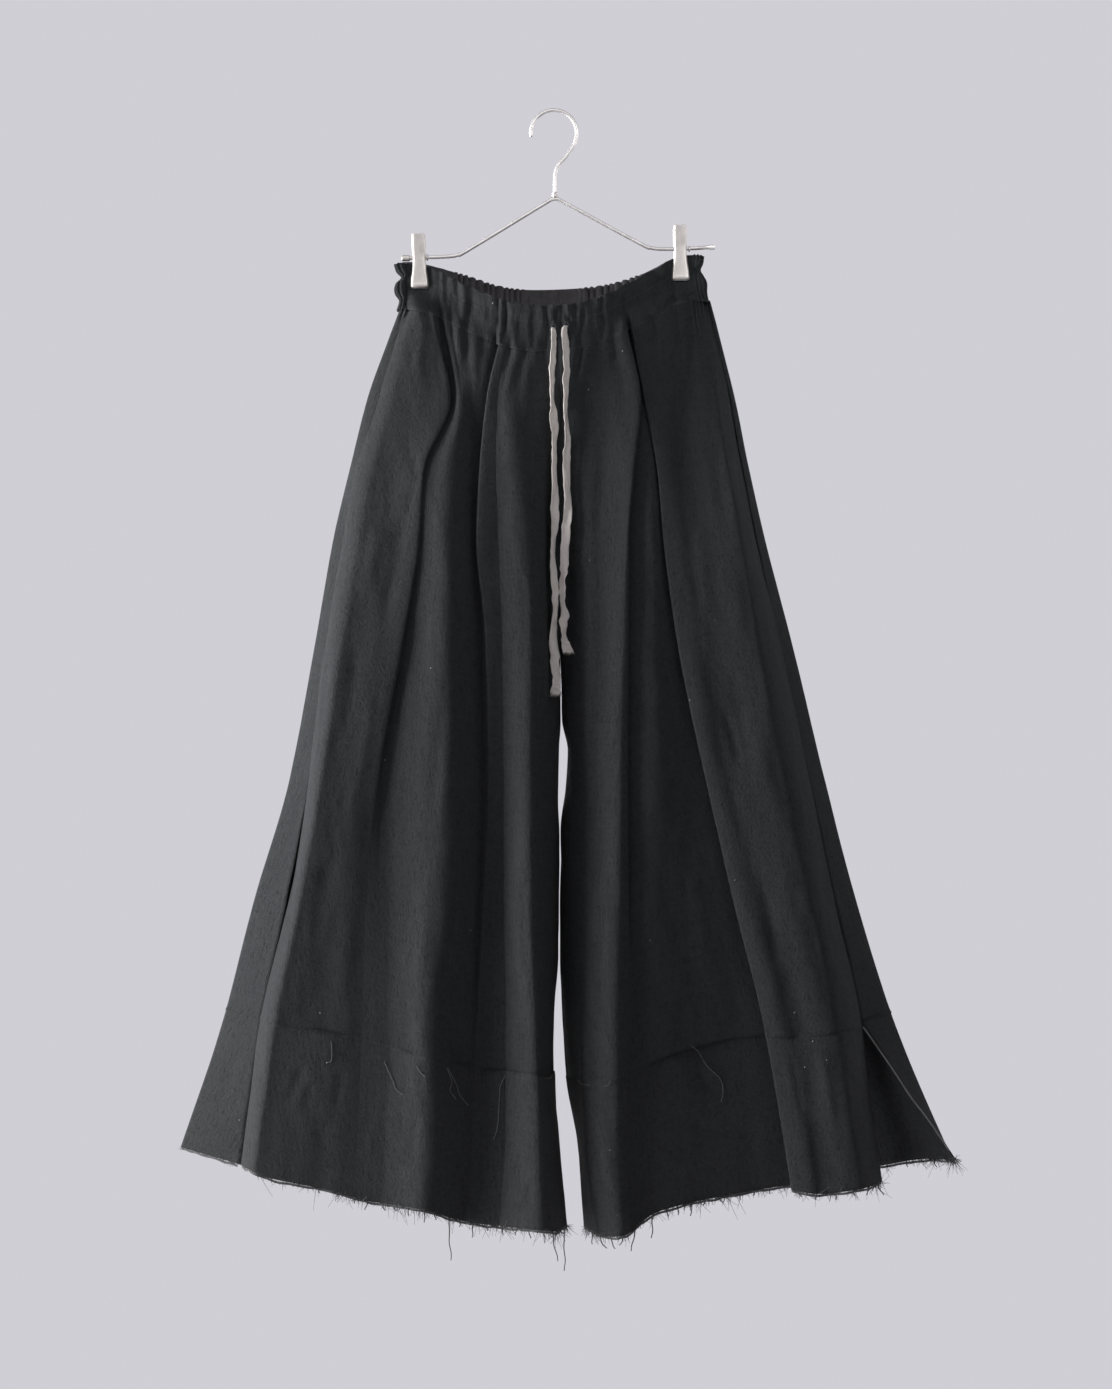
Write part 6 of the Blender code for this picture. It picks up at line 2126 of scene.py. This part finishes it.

# %% [markdown]
# ## Lint
# Dark linen shows every pale speck of lint. Each speck is one very short bent fibre on the surface,
# placed one by one and turned by chance.

# %% Lint
# Where each speck lies in the drawing, and how long it is.
LINT = (
    (320, 1013, 1.9), (622.5, 351, 1.3), (588.5, 389.6, 1.3), (794.4, 1012.4, 1.5),
    (812.8, 1041, 1.3), (804.8, 1067, 1.5), (826.4, 1060, 1.3), (327, 1062.5, 1.6),
    (493, 303, 1.8), (431, 668, 1.0), (385, 760, 0.9), (470, 930, 1.0), (690, 700, 0.9),
    (590, 560, 0.9), (650, 940, 1.0), (735, 880, 0.9), (240, 1120, 1.0), (610, 1150, 0.9),
)
LINT_RADII = (0.1, 0.26, 0.3, 0.3, 0.24, 0.1)
LINT_SEED = 77
LINT_OUT = 0.75
LINT_BOW, BOW_MIDDLE = 0.6, 0.1

rng = np.random.default_rng(LINT_SEED)
spots, ways = nearest(front_cloth, [row[0] for row in LINT], [row[1] for row in LINT])
turn = rng.uniform(0, math.pi, len(LINT))
along = np.stack([np.cos(turn), 0 * turn, np.sin(turn)], -1)
sizes = np.array([row[2] for row in LINT]) * MM
t = np.linspace(-0.5, 0.5, len(LINT_RADII))[None, :, None]
bow = rng.uniform(-LINT_BOW, LINT_BOW, (len(LINT), 1, 1)) * (t**2 - BOW_MIDDLE)
lint_lines = (spots[:, None] + ways[:, None] * LINT_OUT * MM
              + along[:, None] * sizes[:, None, None] * t
              + np.array([0, 0, 1.0]) * bow * sizes[:, None, None])
make_tubes("lint_fibres", lint_lines, np.array(LINT_RADII) * MM, 4, (0.3, 1.0, 0.2), pale_lint,
           "linen_black")
print("lint:", len(LINT))

# %% [markdown]
# ## The wire hanger
# The hanger is drawn wire, bent cold: one length makes the two arms and another the hook. Each is a
# tube along a smooth line through given points. The crook is a true arc, so its points are worked
# out from its middle and radius.

# %% Hanger wires
WIRE_RADIUS = 1.9
WIRE_SIDES = 20
HOOK_STEPS, ARM_STEPS = 150, 260
CROOK_RADIUS = 23.0
CROOK_CENTRE_DOWN = 133.1
CROOK_TURN = (188.0, -22.0)
CROOK_POINTS = 14
HOOK_SHANK = ((573.5, 146), (566.5, 156), (559.5, 164), (555.6, 173), (555, 184), (555, 192.5))
ARM_POINTS = ((402, 258.3), (427, 257.4), (450, 256.4), (459, 254.6), (468, 250.2), (545, 203.4),
              (551, 200.0), (555, 198.9), (559, 199.8), (566, 203.5), (640, 243.6), (650, 247.6),
              (660, 249), (684, 248.8), (708, 247.5))
# Past a wire's last point: how far on, and how thick there, so that its end is rounded.
WIRE_END = ((0.9, 0.02), (0.6, 1.2))


def wire_route(points, count):
    """A wire's centre line in metres through drawing points in the hanging plane."""
    route = smooth_route(points, count)
    return to_world(np.column_stack([route, np.zeros(count)]))


def make_wire(name, points, count, node_name):
    """A round wire whose two ends are rounded off."""
    line = wire_route(points, count)
    before = [line[0] + unit(line[0] - line[2]) * reach * MM for reach, _ in WIRE_END]
    after = [line[-1] + unit(line[-1] - line[-3]) * reach * MM for reach, _ in WIRE_END[::-1]]
    line = np.concatenate([before, line, after])
    ends = [radius * MM for _, radius in WIRE_END]
    radii = np.concatenate([ends, np.full(count, WIRE_RADIUS * MM), ends[::-1]])
    make_tubes(name, line[None], radii[None], WIRE_SIDES, (0.0, 1.0, 0.0), satin_wire,
               "wire_steel", (node_name,))


def crook_arc():
    """Drawing points round the hook's crook, from its tip to its shank."""
    start, end = (math.radians(angle) for angle in CROOK_TURN)
    return [(HOOK_ACROSS + CROOK_RADIUS * math.cos(angle),
             CROOK_CENTRE_DOWN - CROOK_RADIUS * math.sin(angle))
            for angle in np.linspace(start, end, CROOK_POINTS)]


make_wire("hook_wire", crook_arc() + list(HOOK_SHANK), HOOK_STEPS, "hanger_hook")
make_wire("arm_wire", ARM_POINTS, ARM_STEPS, "hanger_arms")
print("wire diameter mm:", 2 * WIRE_RADIUS)

# %% [markdown]
# ## Collar, bead and stop rings
# A small pressed collar joins the hook to the arms. The right arm's end carries a loose bead, and a
# ring beside each clip stops it. All are turned shapes: a tube whose radius changes along its axis.

# %% Turned pieces
ROUND_SIDES = 24
Turned = collections.namedtuple("Turned", "name at rows node")
# The last table in each row goes along the piece's axis: the place on it, and the radius there.
TURNED = rows_of(
    Turned,
    ("collar", (555.0, 194.9),
     ((-2.6, 1.9), (-2.3, 2.6), (-1.6, 3.1), (-1.1, 3.15), (-0.7, 2.8), (0.0, 2.7), (0.7, 2.8),
      (1.1, 3.15), (1.6, 3.1), (2.3, 2.6), (2.6, 1.9)), "hanger_collar"),
    ("bead_right", (405.8, 258.2),
     ((-4.0, 2.0), (-3.95, 2.7), (-3.7, 3.0), (-3.2, 3.1), (0.0, 3.15), (3.2, 3.1), (3.7, 3.0),
      (3.95, 2.7), (4.0, 2.0)), "hanger_bead_right"),
    ("stop_ring", (427.4, 257.4),
     ((-0.8, 1.9), (-0.75, 3.0), (-0.4, 3.35), (0.0, 3.4), (0.4, 3.35), (0.75, 3.0), (0.8, 1.9)),
     None),
    ("stop_ring_left", (689.2, 248.9),
     ((-0.7, 1.9), (-0.65, 2.8), (-0.3, 3.1), (0.3, 3.1), (0.65, 2.8), (0.7, 1.9)), None),
)


def make_turned(row):
    """A turned piece on the hanger's wire. Only the collar stands upright."""
    upright = row.name == "collar"
    axis = np.array([0.0, 0.0, 1.0]) if upright else np.array([1.0, 0.0, 0.0])
    along, radii = np.array(row.rows).T * MM
    line = to_world((*row.at, 0.0)) + along[:, None] * axis
    make_tubes(row.name, line[None], radii[None], ROUND_SIDES, (0.0, 1.0, 0.0),
               satin_wire if upright else satin_clip, "wire_steel" if upright else "clip_steel",
               (row.node,) if row.node else ())


for row in TURNED:
    make_turned(row)
print("turned pieces:", len(TURNED))

# %% [markdown]
# ## The flat tip
# The left arm's end is hammered flat, so that the clip can't slide off. Its sections are ellipses,
# joined into a skin. They grow taller and thinner along it, and close at the very end.

# %% Flat tip
LEFT_TIP = (712.0, 247.3)
# Along the tip: the place, and half its height and half its depth there.
FLAT_TIP = ((-6.5, 1.9, 1.9), (-4.5, 2.0, 1.9), (-3.0, 2.5, 1.5), (-1.0, 2.75, 1.2),
            (1.0, 2.7, 1.1), (2.4, 2.3, 1.0), (3.2, 1.5, 0.8), (3.5, 0.4, 0.3))
TIP_MAP_RADIUS = 0.003

tip = np.array(FLAT_TIP) * MM
turns = np.linspace(0, 2 * math.pi, ROUND_SIDES, endpoint=False)
tip_across = np.broadcast_to(tip[:, :1], (len(tip), ROUND_SIDES))
tip_verts = to_world((*LEFT_TIP, 0.0)) + np.stack(
    [tip_across, np.sin(turns) * tip[:, 2:3], np.cos(turns) * tip[:, 1:2]], -1)
tip_loop = np.arange(len(tip))[:, None] * ROUND_SIDES + np.arange(ROUND_SIDES + 1) % ROUND_SIDES
tip_faces = tip_loop.ravel()[grid_faces(len(tip), ROUND_SIDES + 1)]
tip_places = np.stack([np.broadcast_to(turns * TIP_MAP_RADIUS, tip_across.shape), tip_across], -1)
make_piece("flat_tip", tip_verts, tip_faces, tip_places.reshape(-1, 2), satin_wire, "clip_steel",
           ("hanger_bead_left",))
print("flat tip mm:", round(float(np.ptp(tip[:, 0]) / MM), 1))

# %% [markdown]
# ## The leaves of the clips
# Each clip is two leaves pressed from sheet, waisted for the fingers and wider at the jaw. Their
# long sides are turned back, which stiffens the leaf and gives the bright line along each edge.
# The jaw's lip is rolled in to hold the cloth without marking it.

# %% Clip leaves
Clip = collections.namedtuple("Clip", "name across top foot lean")
CLIPS = rows_of(Clip, ("right", 419.3, 234.6, 289.0, 1.5), ("left", 680.2, 226.0, 281.3, 0.5))
LEAF_PARTS = (0.0, 0.2, 0.42, 0.62, 0.88, 1.0)
LEAF_WIDES = (12.6, 13.0, 11.9, 13.4, 17.0, 17.4)
LEAF_OPENED = (9.4, 8.3, 7.2, 7.2, 7.2, 7.2)
LEAF_ROWS = (0, 0.006, 0.014, 0.026, 0.04, 0.06, 0.1, 0.15, 0.2, 0.26, 0.32, 0.37, 0.42, 0.47,
             0.52, 0.57, 0.62, 0.68, 0.74, 0.8, 0.85, 0.89, 0.92, 0.945, 0.965, 0.98, 0.99, 1.0)
LEAF_SIDES = (-1.0, -0.985, -0.955, -0.91, -0.85, -0.78, -0.5, -0.2, 0.2, 0.5, 0.78, 0.85, 0.91,
              0.955, 0.985, 1.0)
LEAF_SHELL = 0.8
FLANGE_BACK, FLANGE_FROM, FLANGE_CURVE = 2.6, 0.8, 1.6
LIP_IN, LIP_FROM = 2.0, 0.955
JAW_OUT, JAW_FROM = 0.5, 0.9
LEAF_BOW = 0.35
NOTCH_DEEP, NOTCH_WIDE, NOTCH_LONG = 0.5, 0.35, 0.02
# Rounded corners: over what part of the leaf's length, and how much of its width they take off.
TOP_CORNER, TOP_CORNER_TAKES = 0.045, 0.2
JAW_CORNER_AT, JAW_CORNER, JAW_CORNER_TAKES = 0.965, 0.035, 0.14


def corner(past, takes):
    """The share of the width that is left where a rounded corner is that far gone."""
    return math.sqrt(max(1 - max(past, 0) ** 2, 0)) * takes + (1 - takes)


def leaf_points(clip, out):
    """The grid of a leaf: across its sides and down its rows."""
    tall = clip.foot - clip.top
    points = np.zeros((len(LEAF_SIDES), len(LEAF_ROWS), 3))
    for j, part in enumerate(LEAF_ROWS):
        half = smooth(LEAF_PARTS, LEAF_WIDES, part) / 2
        opened = smooth(LEAF_PARTS, LEAF_OPENED, part)
        upper = corner(1 - part / TOP_CORNER, TOP_CORNER_TAKES)
        lower = corner((part - JAW_CORNER_AT) / JAW_CORNER, JAW_CORNER_TAKES)
        lip = (LIP_IN * ease(LIP_FROM, 1.0, part)
               - JAW_OUT * math.sin(math.pi * ease(JAW_FROM, 1, part)))
        for i, side in enumerate(LEAF_SIDES):
            turned = max(abs(side) - FLANGE_FROM, 0) / (1 - FLANGE_FROM)
            flange = FLANGE_BACK * turned**FLANGE_CURVE
            bow = LEAF_BOW * (1 - side**2)
            dip = math.exp(-((side / NOTCH_WIDE) ** 2)) * (1 - ease(0, NOTCH_LONG, part))
            across = clip.across + clip.lean * (part - 0.5) + side * half * upper * lower
            points[i, j] = (across - HOOK_ACROSS, out * (opened - flange + bow - lip),
                            HOOK_DOWN - clip.top - part * tall - NOTCH_DEEP * dip)
    return points * MM


def make_leaf(clip, leaf, out):
    """One pressed leaf of a clip."""
    points = leaf_points(clip, out)
    piece = make_piece(f"leaf_{clip.name}_{leaf}", points, grid_faces(*points.shape[:2], out > 0),
                       cloth_places(points).reshape(-1, 2), satin_clip, "clip_steel",
                       (f"clip_{clip.name}_{leaf}",))
    add_shell(piece, LEAF_SHELL)
    piece.modifiers["shell"].use_even_offset = True


print("points on each leaf:", len(LEAF_SIDES), "by", len(LEAF_ROWS))

# %% [markdown]
# ## Springs and clips
# A coil spring round the hanger's wire presses the jaws together. It is a tube along a helix. The
# two clips are alike, but they hang at different heights and lean a little differently.

# %% Clips
SPRING_TURNS = 7
SPRING_STEPS = 24
SPRING_RADIUS = 4.2
SPRING_WIRE = 0.75
SPRING_SIDES = 10
SPRING_LONG = 11.6


def spring_line(clip):
    """The helix of a clip's spring about the hanger's wire."""
    turn = np.linspace(0, 2 * math.pi * SPRING_TURNS, SPRING_STEPS * SPRING_TURNS)
    middle = to_world((clip.across, np.interp(clip.across, *zip(*ARM_POINTS)), 0.0))
    along = np.linspace(-SPRING_LONG / 2, SPRING_LONG / 2, len(turn))
    return middle + np.stack([along, SPRING_RADIUS * np.sin(turn), SPRING_RADIUS * np.cos(turn)],
                             -1) * MM


for clip in CLIPS:
    make_leaf(clip, "front", -1.0)
    make_leaf(clip, "back", 1.0)
    make_tubes(f"spring_{clip.name}", spring_line(clip)[None], SPRING_WIRE * MM, SPRING_SIDES,
               (1.0, 0.0, 0.0), satin_wire, "clip_steel", (f"clip_{clip.name}_spring",))
print("clips:", len(CLIPS))
